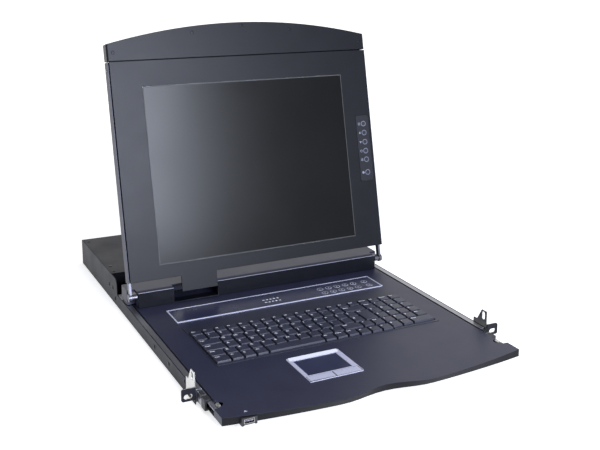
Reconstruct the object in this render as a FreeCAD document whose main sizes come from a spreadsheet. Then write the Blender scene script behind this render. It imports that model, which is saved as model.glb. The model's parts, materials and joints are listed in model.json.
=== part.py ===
"""One-unit rackmount console drawer with a fold-up flat panel, keyboard and touchpad.

Frame: X to the right, Y to the rear, Z up, in millimetres. The origin lies on the rear (mating) face
of the rack ears, midway between their two slots. The drawer is modelled partly pulled out with its
monitor opened, which is the rest position of both joints.
"""
import os
import math

import FreeCAD
import Part

OUTPUT_FOLDER = "parts"

# ---------------------------------------------------------------- sizes (mm and degrees)
SIZES = {
    # rack interface
    "rack_width": 482.6, "slot_pitch": 465.1, "slot_length": 11.5, "slot_width": 6.8,
    "ear_thick": 2.0, "ear_below": 6.0, "ear_above": 10.4, "bracket_thick": 1.4, "tab_top": 29.9,
    "tab_width": 12.5, "bracket_run": 31.0,
    # chassis
    "chassis_width": 445.0, "chassis_height": 44.0, "chassis_below": 14.2, "sheet": 1.2,
    "chassis_end": 606.0, "cover_start": 403.5, "side_step": 368.0, "side_low_top": 5.4,
    "step_radius": 12.0, "floor_start": 45.0, "bulkhead_start": 412.0,
    # telescopic slides
    "slide_level": -3.5, "slide_gauge": 1.0, "slide_height": 17.4, "slide_glide": 1.0,
    "slide_pack": 10.7, "slide_length": 355.0, "rest_extension": 52.0,
    # keyboard tray
    "tray_front": -81.5, "tray_level": 5.0, "tray_depth": 426.0, "tray_drop": 13.5,
    "nose_drop": 10.4, "wing_width": 437.0, "wing_length": 26.0, "tray_skin": 2.0,
    "wave_bulge": 26.0, "wave_valley": 15.6, "wave_valley_half": 67.0, "wave_undercut": 0.64,
    "notch_radius": 7.5,
    # keyboard
    "kb_centre": 1.5, "kb_width": 350.0, "kb_near": 134.6, "kb_far": 275.7, "key_pitch": 18.2,
    "row_pitch": 19.5, "function_row": 16.0, "key_gap": 1.3, "key_rise": 2.8, "key_near": 140.5,
    "key_height": 5.6, "key_taper": 1.1, "stem": 4.0, "stem_drop": 3.2, "arrow_step": 3.5,
    # touchpad
    "pad_centre": -45.0, "pad_width": 78.4, "pad_near": 36.8, "pad_far": 113.0, "pad_border": 6.0,
    "pad_button": 16.0, "pad_rise": 0.6,
    # control strip
    "strip_near": 297.6, "strip_far": 349.6, "strip_line": 2.0, "strip_width": 351.0,
    "strip_button_radius": 4.5, "strip_pitch": 15.2,
    # hinge block across the back of the tray
    "axis_y": 383.2, "axis_level": 17.5, "block_front": 378.0, "block_half": 208.0,
    "block_top": 24.4, "cover_half": 220.4, "cover_front": 398.0, "cover_end": 427.5,
    "passage_left": -151.0, "passage_right": -79.0, "pin_radius": 3.0,
    # monitor
    "lean": 12.4, "panel_half": 222.0, "panel_depth": 18.0, "face_offset": 12.0,
    "bezel_half": 219.5, "panel_low": 23.2, "joint_level": 359.1, "joint_gap": 1.6,
    "corner_level": 386.3, "arch_rise": 27.0, "bezel_thick": 2.0, "window_half": 172.0,
    "window_low": 44.2, "window_high": 319.4, "flap_left": -139.7, "flap_right": -81.3,
    "flap_low": -1.4, "osd_left": 192.3, "osd_right": 216.0, "osd_low": 136.2, "osd_high": 247.4,
    "button_radius": 3.4, "button_rise": 0.8, "latch_height": 347.2, "latch_radius": 2.0,
    "latch_reach": 224.4,
    # shared fits
    "fit": 0.2, "running": 0.05,
}


class Dim:
    """A length that carries both its number and the spreadsheet expression it comes from."""

    def __init__(self, text, value):
        self.text = text
        self.value = float(value)

    @staticmethod
    def of(item):
        return item if isinstance(item, Dim) else Dim(repr(round(float(item), 6)), item)

    def _join(self, other, sign, value):
        return Dim("(%s %s %s)" % (self.text, sign, Dim.of(other).text), value)

    def __add__(self, other):
        return self._join(other, "+", self.value + Dim.of(other).value)

    def __sub__(self, other):
        return self._join(other, "-", self.value - Dim.of(other).value)

    def __mul__(self, other):
        return self._join(other, "*", self.value * Dim.of(other).value)

    def __truediv__(self, other):
        return self._join(other, "/", self.value / Dim.of(other).value)

    def __radd__(self, other):
        return Dim.of(other) + self

    def __rsub__(self, other):
        return Dim.of(other) - self

    def __rmul__(self, other):
        return Dim.of(other) * self

    def __neg__(self):
        return Dim("(-1 * %s)" % self.text, -self.value)


# ---------------------------------------------------------------- document and sheet
doc = FreeCAD.newDocument("console_drawer")
sheet = doc.addObject("Spreadsheet::Sheet", "sizes")
for row, (alias, number) in enumerate(SIZES.items(), start=1):
    sheet.set("A%d" % row, alias)
    sheet.set("B%d" % row, str(number))
    sheet.setAlias("B%d" % row, alias)
doc.recompute()


class SizeTable:
    """Gives every spreadsheet cell as a Dim attribute."""

    def __getattr__(self, alias):
        return Dim("sizes.%s" % alias, SIZES[alias])


P = SizeTable()
NODES = []


def bind(target, prop, item):
    """Drive one property by the expression of a Dim."""
    target.setExpression(prop, Dim.of(item).text)


# ---------------------------------------------------------------- sketch and feature helpers
PLANE_ROLE = {"XY": "XY_Plane", "XZ": "XZ_Plane", "YZ": "YZ_Plane"}


class Piece:
    """A PartDesign body built from flat profiles swept along one row axis."""

    def __init__(self, name, keep=True):
        self.body = doc.addObject("PartDesign::Body", name)
        self.body.Label = name
        self.count = 0
        if keep:
            NODES.append(self.body)

    def _plane(self, which):
        for feature in self.body.Origin.OriginFeatures:
            if feature.Role == PLANE_ROLE[which]:
                return feature
        raise RuntimeError("no plane " + which)

    def sketch(self, plane, offset):
        """Sketch on an origin plane, lifted by `offset` along the plane's row axis."""
        self.count += 1
        item = self.body.newObject("Sketcher::SketchObject", "%s_s%d" % (self.body.Name, self.count))
        item.AttachmentSupport = (self._plane(plane), [""])
        item.MapMode = "FlatFace"
        lift = -Dim.of(offset) if plane == "XZ" else Dim.of(offset)
        item.AttachmentOffset = FreeCAD.Placement(
            FreeCAD.Vector(0, 0, lift.value), FreeCAD.Rotation())
        bind(item, "AttachmentOffset.Base.z", lift)
        return item

    def grow(self, plane, start, end, *loops):
        """Add material between two levels along the plane's normal axis."""
        start, end = Dim.of(start), Dim.of(end)
        item = self.sketch(plane, end if plane == "XZ" else start)
        draw(item, loops)
        feature = self.body.newObject("PartDesign::Pad", "%s_f%d" % (self.body.Name, self.count))
        feature.Profile = item
        feature.Length = (end - start).value
        bind(feature, "Length", end - start)
        return feature

    def carve(self, plane, start, end, *loops):
        """Remove material between two levels along the plane's normal axis."""
        start, end = Dim.of(start), Dim.of(end)
        item = self.sketch(plane, start if plane == "XZ" else end)
        draw(item, loops)
        feature = self.body.newObject("PartDesign::Pocket", "%s_f%d" % (self.body.Name, self.count))
        feature.Profile = item
        feature.Length = (end - start).value
        bind(feature, "Length", end - start)
        return feature

    def soften(self, radius, chooser, kind="Fillet"):
        """Round or chamfer the edges of the current tip that the chooser accepts."""
        doc.recompute()
        tip = self.body.Tip
        names = ["Edge%d" % (index + 1) for index, edge in enumerate(tip.Shape.Edges) if chooser(edge)]
        if not names:
            raise RuntimeError("no edge to soften on " + self.body.Name)
        feature = self.body.newObject("PartDesign::" + kind, "%s_r%d" % (self.body.Name, self.count))
        feature.Base = (tip, names)
        prop = "Radius" if kind == "Fillet" else "Size"
        setattr(feature, prop, Dim.of(radius).value)
        bind(feature, prop, radius)
        return feature


def rect(x0, x1, y0, y1):
    """Rectangle as a loop of corner Dims."""
    return ("poly", [(x0, y0), (x1, y0), (x1, y1), (x0, y1)])


def poly(points):
    return ("poly", points)


def disc(x, y, radius):
    return ("disc", x, y, radius)


def fix_point(item, geometry, position, x, y):
    """Hold one sketch point at signed distances from the sketch origin."""
    import Sketcher
    for axis, value, rail in (("DistanceX", Dim.of(x), -2), ("DistanceY", Dim.of(y), -1)):
        if abs(value.value) < 1e-9 and "sizes" not in value.text:
            item.addConstraint(Sketcher.Constraint("PointOnObject", geometry, position, rail))
            continue
        index = item.addConstraint(Sketcher.Constraint(axis, -1, 1, geometry, position, value.value))
        if "sizes" in value.text:
            item.setExpression("Constraints[%d]" % index, value.text)


def draw(item, loops):
    """Put closed loops into a sketch, every point tied to the sheet."""
    import Sketcher
    for loop in loops:
        if loop[0] == "poly":
            corners = [(Dim.of(x), Dim.of(y)) for x, y in loop[1]]
            spots = [FreeCAD.Vector(x.value, y.value, 0) for x, y in corners]
            total = len(spots)
            first = item.GeometryCount
            for index in range(total):
                item.addGeometry(Part.LineSegment(spots[index], spots[(index + 1) % total]), False)
            for index in range(total):
                item.addConstraint(Sketcher.Constraint(
                    "Coincident", first + index, 2, first + (index + 1) % total, 1))
            for index, (x, y) in enumerate(corners):
                fix_point(item, first + index, 1, x, y)
        else:
            x, y, radius = Dim.of(loop[1]), Dim.of(loop[2]), Dim.of(loop[3])
            spot = item.addGeometry(Part.Circle(
                FreeCAD.Vector(x.value, y.value, 0), FreeCAD.Vector(0, 0, 1), radius.value), False)
            fix_point(item, spot, 3, x, y)
            index = item.addConstraint(Sketcher.Constraint("Radius", spot, radius.value))
            if "sizes" in radius.text:
                item.setExpression("Constraints[%d]" % index, radius.text)


def slot_cut(piece, plane, start, end, centre_x, centre_y, length, width):
    """Round-ended slot along the first sketch axis."""
    reach = (length - width) / 2
    piece.carve(plane, start, end, rect(centre_x - reach, centre_x + reach,
                                        centre_y - width / 2, centre_y + width / 2))
    piece.carve(plane, start, end, disc(centre_x - reach, centre_y, width / 2))
    piece.carve(plane, start, end, disc(centre_x + reach, centre_y, width / 2))


def tall_slot_cut(piece, plane, start, end, centre_x, centre_y, length, width):
    """Round-ended slot along the second sketch axis."""
    reach = (length - width) / 2
    piece.carve(plane, start, end, rect(centre_x - width / 2, centre_x + width / 2,
                                        centre_y - reach, centre_y + reach))
    piece.carve(plane, start, end, disc(centre_x, centre_y - reach, width / 2))
    piece.carve(plane, start, end, disc(centre_x, centre_y + reach, width / 2))


def span(side, near, far):
    """Ordered X range on the right (side 1) or mirrored to the left (side -1)."""
    return (Dim.of(near), Dim.of(far)) if side > 0 else (-Dim.of(far), -Dim.of(near))


def box(piece, x0, x1, y0, y1, z0, z1):
    """Plain block given by its six levels."""
    return piece.grow("XY", z0, z1, rect(x0, x1, y0, y1))


def cut_box(piece, x0, x1, y0, y1, z0, z1):
    return piece.carve("XY", z0, z1, rect(x0, x1, y0, y1))


def mirrored(points, side):
    """Profile points for the right side, or their mirror image for the left."""
    return [(Dim.of(x) * side, z) for x, z in points]


def edge_runs(edge, axis):
    """True when an edge is straight and parallel to one axis."""
    if edge.Curve.TypeId != "Part::GeomLine":
        return False
    direction = edge.Vertexes[-1].Point - edge.Vertexes[0].Point
    parts = [abs(direction.x), abs(direction.y), abs(direction.z)]
    return parts[axis] > 0.999 * direction.Length


def near(a, b, slack=0.02):
    return abs(a - Dim.of(b).value) < slack


SIDES = (("left", -1), ("right", 1))

# derived levels of the fixed frame
HALF = P.chassis_width / 2
WALL = HALF - P.sheet
TOP = P.chassis_height - P.chassis_below
BOTTOM = -P.chassis_below
FLOOR = BOTTOM + P.sheet
END = P.chassis_end
TRAY_HALF = WALL - P.slide_pack
COLLAR_FACE = WALL - P.slide_pack + 1.3


def ty(value):
    """Row Y of a distance behind the tray's front corner line."""
    return P.tray_front + value


def tz(value):
    """Row Z of a height above the tray's top face."""
    return P.tray_level + value


# ---------------------------------------------------------------- chassis
COVER_SCREWS = [P.cover_start + 11.5, P.cover_start + 36.5, END - 16]
SIDE_SCREWS = [(41.0, -1.0), (107.0, -4.4), (171.6, -4.6)]
BOX_SCREWS = [(P.side_step + 14, -4.6), (P.side_step + 27, 8.6), (P.side_step + 50, 7.6)]
PORT_X = [-186.0 + 37.0 * index for index in range(8)]
PORT_Z = Dim.of(2.0)


def build_chassis_pan():
    pan = Piece("chassis_pan")
    pan.grow("YZ", -HALF, HALF, poly([
        (0, BOTTOM), (END, BOTTOM), (END, TOP), (P.side_step, TOP),
        (P.side_step, P.side_low_top), (0, P.side_low_top)]))
    pan.carve("XZ", -5, END + 5, rect(-WALL, WALL, FLOOR, TOP + 20))
    cut_box(pan, -WALL, WALL, -5, P.floor_start, BOTTOM - 2, FLOOR + 2)
    # front wall of the electronics bay, folded up from the floor, with a harness window
    pan.grow("XZ", P.bulkhead_start, P.bulkhead_start + P.sheet,
             rect(-WALL, WALL, BOTTOM, TOP - P.sheet - 1), rect(-40, 40, 2, 18))
    # folded lugs that take the cover screws
    for level in COVER_SCREWS:
        for _, side in SIDES:
            x0, x1 = span(side, WALL - 13, WALL)
            box(pan, x0, x1, level - 6, level + 6, TOP - P.sheet * 2, TOP - P.sheet)
        pan.carve("XY", TOP - P.sheet * 2, TOP, disc(-WALL + 7.5, level, 1.65), disc(WALL - 7.5, level, 1.65))
    # pressed standoffs under the circuit board
    for x in (-195, -45, 100):
        for y in (P.bulkhead_start + 30, END - 30):
            pan.grow("XY", BOTTOM, FLOOR + 5, disc(x, y, 3))
    # fixing holes of the slides and the electronics bay
    for y, z in SIDE_SCREWS + BOX_SCREWS:
        pan.carve("YZ", -HALF - 1, HALF + 1, disc(y, z, 1.9))
    pan.soften(P.step_radius, lambda edge: edge_runs(edge, 0)
               and near(edge.CenterOfMass.y, P.side_step) and near(edge.CenterOfMass.z, TOP))


def port_shape(x, half_top, half_low, half_high):
    """Trapezoid outline of a display connector."""
    return poly([(x - half_low, PORT_Z - half_high), (x + half_low, PORT_Z - half_high),
                 (x + half_top, PORT_Z + half_high), (x - half_top, PORT_Z + half_high)])


def hexagon(x, z, radius):
    return poly([(x + radius * math.cos(math.radians(60 * k)),
                  Dim.of(z) + radius * math.sin(math.radians(60 * k))) for k in range(6)])


def build_rear_panel():
    panel = Piece("rear_panel")
    edge = WALL - 0.1
    panel.grow("XZ", END - P.sheet, END, rect(-edge, edge, FLOOR, TOP - P.sheet))
    panel.carve("XZ", END - 5, END + 5, *[port_shape(x, 8.4, 7.4, 4.6) for x in PORT_X])
    panel.carve("XZ", END - 5, END + 5, rect(156, 184, -8.2, 12.2), rect(127, 141, -7.6, 11.6))


def build_top_cover():
    cover = Piece("top_cover")
    edge = WALL - 0.35
    box(cover, -edge, edge, P.cover_start, END, TOP - P.sheet, TOP)
    box(cover, -edge, edge, P.cover_start, P.cover_start + P.sheet, TOP - 6, TOP - P.sheet)
    for level in COVER_SCREWS:
        cover.carve("XY", TOP - 3, TOP + 3, disc(-WALL + 7.5, level, 1.65), disc(WALL - 7.5, level, 1.65))


def build_chassis_screws():
    screws = Piece("chassis_screws")
    for level in COVER_SCREWS:
        for side in (-1, 1):
            x = (WALL - 7.5) * side
            screws.grow("XY", TOP - P.sheet * 2, TOP, disc(x, level, 1.6))
            screws.grow("XY", TOP, TOP + 0.6, disc(x, level, 2.9))
    for y, z in SIDE_SCREWS + BOX_SCREWS:
        for side in (-1, 1):
            x0, x1 = span(side, WALL, HALF)
            h0, h1 = span(side, HALF, HALF + 0.8)
            screws.grow("YZ", x0, x1, disc(y, z, 1.85))
            screws.grow("YZ", h0, h1, disc(y, z, 3.2))


def build_rack_ears():
    outer = P.rack_width / 2
    front = -P.bracket_thick - P.ear_thick
    for word, side in SIDES:
        ear = Piece("rack_ear_" + word)
        x0, x1 = span(side, HALF + 0.3, outer)
        box(ear, x0, x1, front, -P.bracket_thick, -P.ear_below, P.ear_above)
        slot_cut(ear, "XZ", front - 1, 1, P.slot_pitch / 2 * side, 0, P.slot_length, P.slot_width)
        ear.soften(2.4, lambda edge: edge_runs(edge, 1) and near(abs(edge.CenterOfMass.x), outer))

        bracket = Piece("latch_bracket_" + word)
        x0, x1 = span(side, HALF, outer)
        box(bracket, x0, x1, -P.bracket_thick, 0, -P.ear_below, P.ear_above)
        slot_cut(bracket, "XZ", -5, 1, P.slot_pitch / 2 * side, 0, P.slot_length, P.slot_width)
        x0, x1 = span(side, HALF, HALF + P.bracket_thick)
        bracket.grow("YZ", x0, x1, poly([
            (-P.bracket_thick, -P.ear_below), (P.bracket_run, -P.ear_below), (P.bracket_run - 1, 12),
            (P.tab_width + 9, 12.5), (P.tab_width - P.bracket_thick, P.tab_top),
            (-P.bracket_thick, P.tab_top)]))
        tall_slot_cut(bracket, "YZ", x0 - 1, x1 + 1, LATCH_Y, 21.8, 12, 6.4)
        bracket.soften(2.4, lambda edge: edge_runs(edge, 1) and near(abs(edge.CenterOfMass.x), outer))


def build_rear_fittings():
    shells = Piece("port_shells")
    holes = [port_shape(x, 8.1, 7.1, 4.3) for x in PORT_X]
    shells.grow("XZ", END, END + 0.8, *([rect(x - 15.6, x + 15.6, PORT_Z - 6.3, PORT_Z + 6.3)
                                         for x in PORT_X] + holes))
    shells.grow("XZ", END + 0.8, END + 6, *([port_shape(x, 8.6, 7.6, 4.8) for x in PORT_X] + holes))
    shells.grow("XZ", END + 0.8, END + 5.6, *[hexagon(x + offset, PORT_Z, 2.6)
                                              for x in PORT_X for offset in (-12.5, 12.5)])
    shells.grow("XZ", END - 13, END - 2, rect(169, 171, 3.2, 7.2), rect(162, 164, -2.4, 1.6),
                rect(176, 178, -2.4, 1.6))

    inserts = Piece("port_inserts")
    inserts.grow("XZ", END - 14, END + 5, *[port_shape(x, 8.0, 7.0, 4.2) for x in PORT_X])
    inserts.grow("XZ", END - 17, END, rect(156.2, 183.8, -8, 12))
    inserts.grow("XZ", END, END + 2, rect(154.5, 185.5, -10, 14))
    inserts.carve("XZ", END - 13, END + 3, rect(158.5, 181.5, -5.5, 9.5))
    inserts.grow("XZ", END - 14, END, rect(127.2, 140.8, -7.4, 11.4))
    inserts.grow("XZ", END, END + 1.6, rect(126, 142, -8.6, 12.6))
    inserts.carve("XZ", END - 9, END + 3, rect(128.6, 139.4, -6.6, 10.6))
    inserts.carve("YZ", 127.8, 140.2, disc(END - 2, 2, 1.2 + P.running))

    rocker = Piece("power_rocker")
    rocker.grow("YZ", 129, 139, poly([(END - 3.6, -5.2), (END - 3.6, 9.2), (END + 3.6, 9.0),
                                      (END + 1.4, 2.0), (END + 0.8, -5.0)]))
    rocker.grow("YZ", 128, 140, disc(END - 2, 2, 1.2))


def build_electronics():
    board = Piece("main_board")
    low = FLOOR + 5
    box(board, -205, 108, P.bulkhead_start + 22, END - 20, low, low + 1.6)
    parts = [(-150, 470, 26, 26, 3.0), (-80, 520, 30, 30, 3.4), (0, 470, 22, 22, 2.6), (60, 520, 18, 30, 9.0),
             (-190, 540, 14, 40, 8.0), (40, 450, 40, 12, 6.0), (-110, 560, 60, 8, 5.0)]
    for x, y, wide, deep, tall in parts:
        box(board, x, x + wide, y, y + deep, low + 1.6, low + 1.6 + tall)

    supply = Piece("power_supply")
    box(supply, 116, 208, P.bulkhead_start + 20, END - 24, FLOOR, TOP - 10)


def channel(side, root, tip, half, gauge):
    """C profile lying on its web, opening from `root` towards `tip`."""
    step = gauge if tip.value > root.value else -gauge
    middle = P.slide_level
    return poly(mirrored([
        (root, middle - half), (tip, middle - half), (tip, middle - half + gauge),
        (root + step, middle - half + gauge), (root + step, middle + half - gauge),
        (tip, middle + half - gauge), (tip, middle + half), (root, middle + half)], side))


def build_slides():
    gauge = P.slide_gauge
    outer_half = P.slide_height / 2
    middle_half = outer_half - gauge - P.slide_glide
    inner_half = middle_half - gauge - P.slide_glide
    web = WALL - gauge - 0.4
    lip = COLLAR_FACE + 0.2
    middle_front = 10.5 - P.rest_extension / 2
    inner_front = ty(P.wing_length + 1.5)
    guides = Piece("slide_guides", keep=False)
    for word, side in SIDES:
        outer = Piece("slide_outer_" + word)
        outer.grow("XZ", 2, P.slide_length + 15, channel(side, WALL, WALL - 8, outer_half, gauge))
        middle = Piece("slide_middle_" + word)
        middle.grow("XZ", middle_front, middle_front + P.slide_length,
                    channel(side, web, lip, middle_half, gauge))
        inner = Piece("slide_inner_" + word)
        inner.grow("XZ", inner_front, inner_front + P.slide_length,
                   channel(side, TRAY_HALF, TRAY_HALF + 6.4, inner_half, gauge))
        # rivet holes along the inner member
        for offset in (10, 24, 120, 240, 340):
            x0, x1 = span(side, TRAY_HALF - 1, TRAY_HALF + gauge + 1)
            inner.carve("YZ", x0, x1, disc(inner_front + offset, P.slide_level, 1.6))
        # nylon strips between the members, and the black collar on the front of the middle member
        x0, x1 = span(side, WALL - 7.4, WALL - 3)
        w0, w1 = span(side, WALL - 8.8, WALL - 4.6)
        for start in (middle_front + 4, middle_front + P.slide_length - 64):
            for sign in (-1, 1):
                level = P.slide_level + sign * (middle_half + P.slide_glide / 2)
                thick = P.slide_glide / 2 - 0.04
                box(guides, x0, x1, start, start + 60, level - thick, level + thick)
                level = P.slide_level + sign * (inner_half + P.slide_glide / 2)
                box(guides, w0, w1, start, start + 60, level - thick, level + thick)
        collar = [(COLLAR_FACE, middle_half + 0.6), (WALL - gauge - 0.2, middle_half + 0.6),
                  (WALL - gauge - 0.2, -(middle_half + 0.6)), (COLLAR_FACE, -(middle_half + 0.6)),
                  (COLLAR_FACE, -(inner_half + 0.4)), (lip + 5.4, -(inner_half + 0.4)),
                  (lip + 5.4, inner_half + 0.4), (COLLAR_FACE, inner_half + 0.4)]
        guides.grow("XZ", middle_front - 12, middle_front,
                    poly(mirrored([(x, P.slide_level + z) for x, z in collar], side)))
    NODES.append(guides.body)


# ---------------------------------------------------------------- keyboard tray
WAVE_STEPS = 32


def wave_outline(bulge, valley, back):
    """Front outline: a bowed edge with a shallow finger recess at its centre."""
    half = P.wing_width / 2
    spread = SIZES["wave_valley_half"] / half.value
    points = [(-half, ty(back))]
    for index in range(WAVE_STEPS + 1):
        part = 2.0 * index / WAVE_STEPS - 1.0
        dip = math.cos(math.pi * part / 2 / spread) ** 2 if abs(part) < spread else 0.0
        points.append((half * part, ty(-(bulge * (1 - part * part)) + valley * dip)))
    points.append((half, ty(back)))
    return points


def build_tray_shell():
    tray = Piece("tray_shell")
    top = tz(0)
    nose_low = tz(-P.nose_drop)
    flow = tray.sketch("XY", nose_low)
    under = P.wave_undercut
    draw(flow, [poly(wave_outline(P.wave_bulge * under, P.wave_valley * under, P.wing_length))])
    crown = tray.sketch("XY", top)
    draw(crown, [poly(wave_outline(P.wave_bulge, P.wave_valley, P.wing_length))])
    loft = tray.body.newObject("PartDesign::AdditiveLoft", "tray_nose")
    loft.Profile = flow
    loft.Sections = [crown]
    loft.Ruled = True
    box(tray, -TRAY_HALF, TRAY_HALF, ty(P.wing_length), ty(P.tray_depth), tz(-P.tray_drop), top)
    inner = TRAY_HALF - P.tray_skin
    cut_box(tray, -inner, inner, ty(P.wing_length + 4), ty(P.tray_depth - P.tray_skin),
            tz(-P.tray_drop), tz(-P.tray_skin))
    cut_box(tray, -P.wing_width / 2 + 3, P.wing_width / 2 - 3, ty(2.5), ty(P.wing_length - 2),
            nose_low - 1, tz(-P.tray_skin))
    cut_box(tray, -inner, inner, ty(P.wing_length - 3), ty(P.wing_length + 5), nose_low + 2, tz(-P.tray_skin))
    # windows of the keyboard, the touchpad and the cable way under the hinge block
    reach = P.kb_width / 2 + P.fit
    side = P.pad_width / 2 + P.fit
    cut_box(tray, P.kb_centre - reach, P.kb_centre + reach, ty(P.kb_near - P.fit), ty(P.kb_far + P.fit),
            tz(-5), top + 1)
    cut_box(tray, P.pad_centre - side, P.pad_centre + side, ty(P.pad_near - P.fit), ty(P.pad_far + P.fit),
            tz(-5), top + 1)
    cut_box(tray, P.passage_left + 8, P.passage_right - 8, ty(P.block_front + 8), ty(P.block_front + 18),
            tz(-5), top + 1)
    # finger notches over the slide releases
    tray.carve("XY", tz(-9), top + 1, disc(-TRAY_HALF, ty(P.wing_length + 10.5), P.notch_radius),
               disc(TRAY_HALF, ty(P.wing_length + 10.5), P.notch_radius))
    # opening of the front data socket
    cut_box(tray, SOCKET_X - 10.2, SOCKET_X + 10.2, ty(-20), ty(3), nose_low - 2, tz(-1.6))


def build_tray_floor():
    floor = Piece("tray_floor")
    inner = TRAY_HALF - P.tray_skin - P.fit
    box(floor, -inner, inner, ty(P.wing_length + 4 + P.fit), ty(P.tray_depth - P.tray_skin - P.fit),
        tz(-P.tray_drop), tz(-P.tray_drop) + P.sheet)


def build_keyboard():
    left = P.kb_centre - P.kb_width / 2
    right = P.kb_centre + P.kb_width / 2
    inset = (P.kb_width - P.key_pitch * 19) / 2
    key_left = left + inset
    key_far = P.key_near + P.row_pitch * 5 + P.function_row
    rim = 0.7
    frame = Piece("keyboard_frame")
    box(frame, left, right, ty(P.kb_near), ty(P.kb_far), tz(-5), tz(0.5))
    step0 = key_left + P.key_pitch * 12 - rim
    step1 = key_left + P.key_pitch * 15 + rim
    low = ty(P.key_near - rim)
    frame.carve("XY", tz(-6), tz(0.5), poly([
        (key_left - rim, low), (step0, low), (step0, low - P.arrow_step), (step1, low - P.arrow_step),
        (step1, low), (right - inset + rim, low), (right - inset + rim, ty(key_far + rim)),
        (key_left - rim, ty(key_far + rim))]))
    stems = build_keys(key_left)
    base = Piece("keyboard_base")
    box(base, left + 1, right - 1, ty(P.kb_near + 1), ty(P.kb_far - 1), tz(-7.2), tz(-5))
    bore = P.stem / 2 + P.running
    for row in stems:
        base.carve("XY", tz(-8), tz(-4), *[rect(x - bore, x + bore, y - bore, y + bore) for x, y in row])


# (row from the front, widths in key units, first column, steps forward) of every run of keys
KEY_RUNS = {
    "keys_function": [(5, [1.0] * 15, 0.0, 0)],
    "keys_typing": [(4, [1.0] * 13 + [2.0], 0.0, 0), (3, [1.75] + [1.0] * 12, 0.0, 0),
                    (2, [1.75] + [1.0] * 12, 0.0, 0), (1, [1.25] + [1.0] * 10 + [1.75], 0.0, 0),
                    (1, [1.0], 14.0, 0), (0, [1.25, 1.0, 1.0, 1.0], 0.0, 0), (0, [1.0] * 3, 9.0, 0)],
    "key_space": [(0, [4.75], 4.25, 0)],
    "keys_arrows": [(0, [1.0] * 3, 12.0, 1), (1, [1.0], 13.0, 0)],
    "keys_numpad": [(row, [1.0] * 4, 15.0, 0) for row in (5, 4, 3, 2, 1)] + [(0, [1.0, 1.0, 2.0], 15.0, 0)],
}
TALL_KEY = (13.75, 15.0, 2, 4)


def build_keys(key_left):
    """Every keycap, grouped by the body it moves with; returns the stem centres, one list per run."""
    stems = []
    for name, runs in KEY_RUNS.items():
        caps = []
        for row, widths, cursor, stepped in runs:
            y0 = ty(P.key_near + P.row_pitch * row - P.arrow_step * stepped)
            y1 = y0 + (P.function_row if row == 5 else P.row_pitch)
            centres = []
            for width in widths:
                cap, centre = key_cap("%s_%d" % (name, len(caps)), key_left + P.key_pitch * cursor,
                                      key_left + P.key_pitch * (cursor + width), y0, y1)
                caps.append(cap)
                centres.append(centre)
                cursor += width
            stems.append(centres)
        if name == "keys_typing":
            first, last, row, next_row = TALL_KEY
            cap, centre = key_cap("%s_%d" % (name, len(caps)), key_left + P.key_pitch * first,
                                  key_left + P.key_pitch * last, ty(P.key_near + P.row_pitch * row),
                                  ty(P.key_near + P.row_pitch * next_row))
            caps.append(cap)
            stems.append([centre])
        group = doc.addObject("Part::Compound", name)
        group.Label = name
        group.Links = caps
        NODES.append(group)
    return stems


def key_cap(name, x0, x1, y0, y1):
    """One tapered cap between two column lines and two row lines, fused to its square stem."""
    half = P.key_gap / 2
    taper = P.key_taper
    low = tz(P.key_rise - P.key_height)
    cap = doc.addObject("Part::Wedge", name + "_cap")
    cap.Placement = FreeCAD.Placement(FreeCAD.Vector(0, 0, 0),
                                      FreeCAD.Rotation(FreeCAD.Vector(1, 0, 0), 90))
    levels = {
        "Xmin": x0 + half, "Xmax": x1 - half, "Zmin": -(y1 - half), "Zmax": -(y0 + half),
        "X2min": x0 + half + taper, "X2max": x1 - half - taper,
        "Z2min": -(y1 - half - taper), "Z2max": -(y0 + half + taper),
        "Ymin": low, "Ymax": tz(P.key_rise),
    }
    for prop, level in levels.items():
        setattr(cap, prop, level.value)
        bind(cap, prop, level)
    centre = ((x0 + x1) / 2, (y0 + y1) / 2)
    stem = doc.addObject("Part::Box", name + "_stem")
    corner = {"x": centre[0] - P.stem / 2, "y": centre[1] - P.stem / 2, "z": low - P.stem_drop}
    for axis, level in corner.items():
        bind(stem, "Placement.Base." + axis, level)
    for prop, level in {"Length": P.stem, "Width": P.stem, "Height": P.stem_drop + 1}.items():
        bind(stem, prop, level)
    key = doc.addObject("Part::Fuse", name)
    key.Base = cap
    key.Tool = stem
    return key, centre


def build_touchpad():
    left = P.pad_centre - P.pad_width / 2
    right = P.pad_centre + P.pad_width / 2
    near_edge = ty(P.pad_near)
    far_edge = ty(P.pad_far)
    split = ty(P.pad_near + P.pad_button + 1)
    gap = Dim.of(0.4)
    frame = Piece("touchpad_frame")
    box(frame, left, right, near_edge, far_edge, tz(-3), tz(P.pad_rise))
    cut_box(frame, left + P.pad_border, right - P.pad_border - 2, split + 1.2, far_edge - 9.5,
            tz(-4), tz(P.pad_rise) + 1)
    cut_box(frame, left + 1, right - 1, near_edge + 1, split, tz(-4), tz(P.pad_rise) + 1)
    surface = Piece("touchpad_surface")
    box(surface, left + P.pad_border + P.fit, right - P.pad_border - 2 - P.fit,
        split + 1.2 + P.fit, far_edge - 9.5 - P.fit, tz(-3), tz(-0.2))
    for word, side in SIDES:
        button = Piece("touchpad_button_" + word)
        if side < 0:
            x0, x1 = left + 1 + gap, P.pad_centre - gap
        else:
            x0, x1 = P.pad_centre + gap, right - 1 - gap
        box(button, x0, x1, near_edge + 1 + gap, split - gap, tz(-2), tz(P.pad_rise) - 0.1)


STRIP_BUTTONS = [(column, row) for row in (0, 1) for column in (0, 1, 2, 3, 4, 5.35)]


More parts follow.
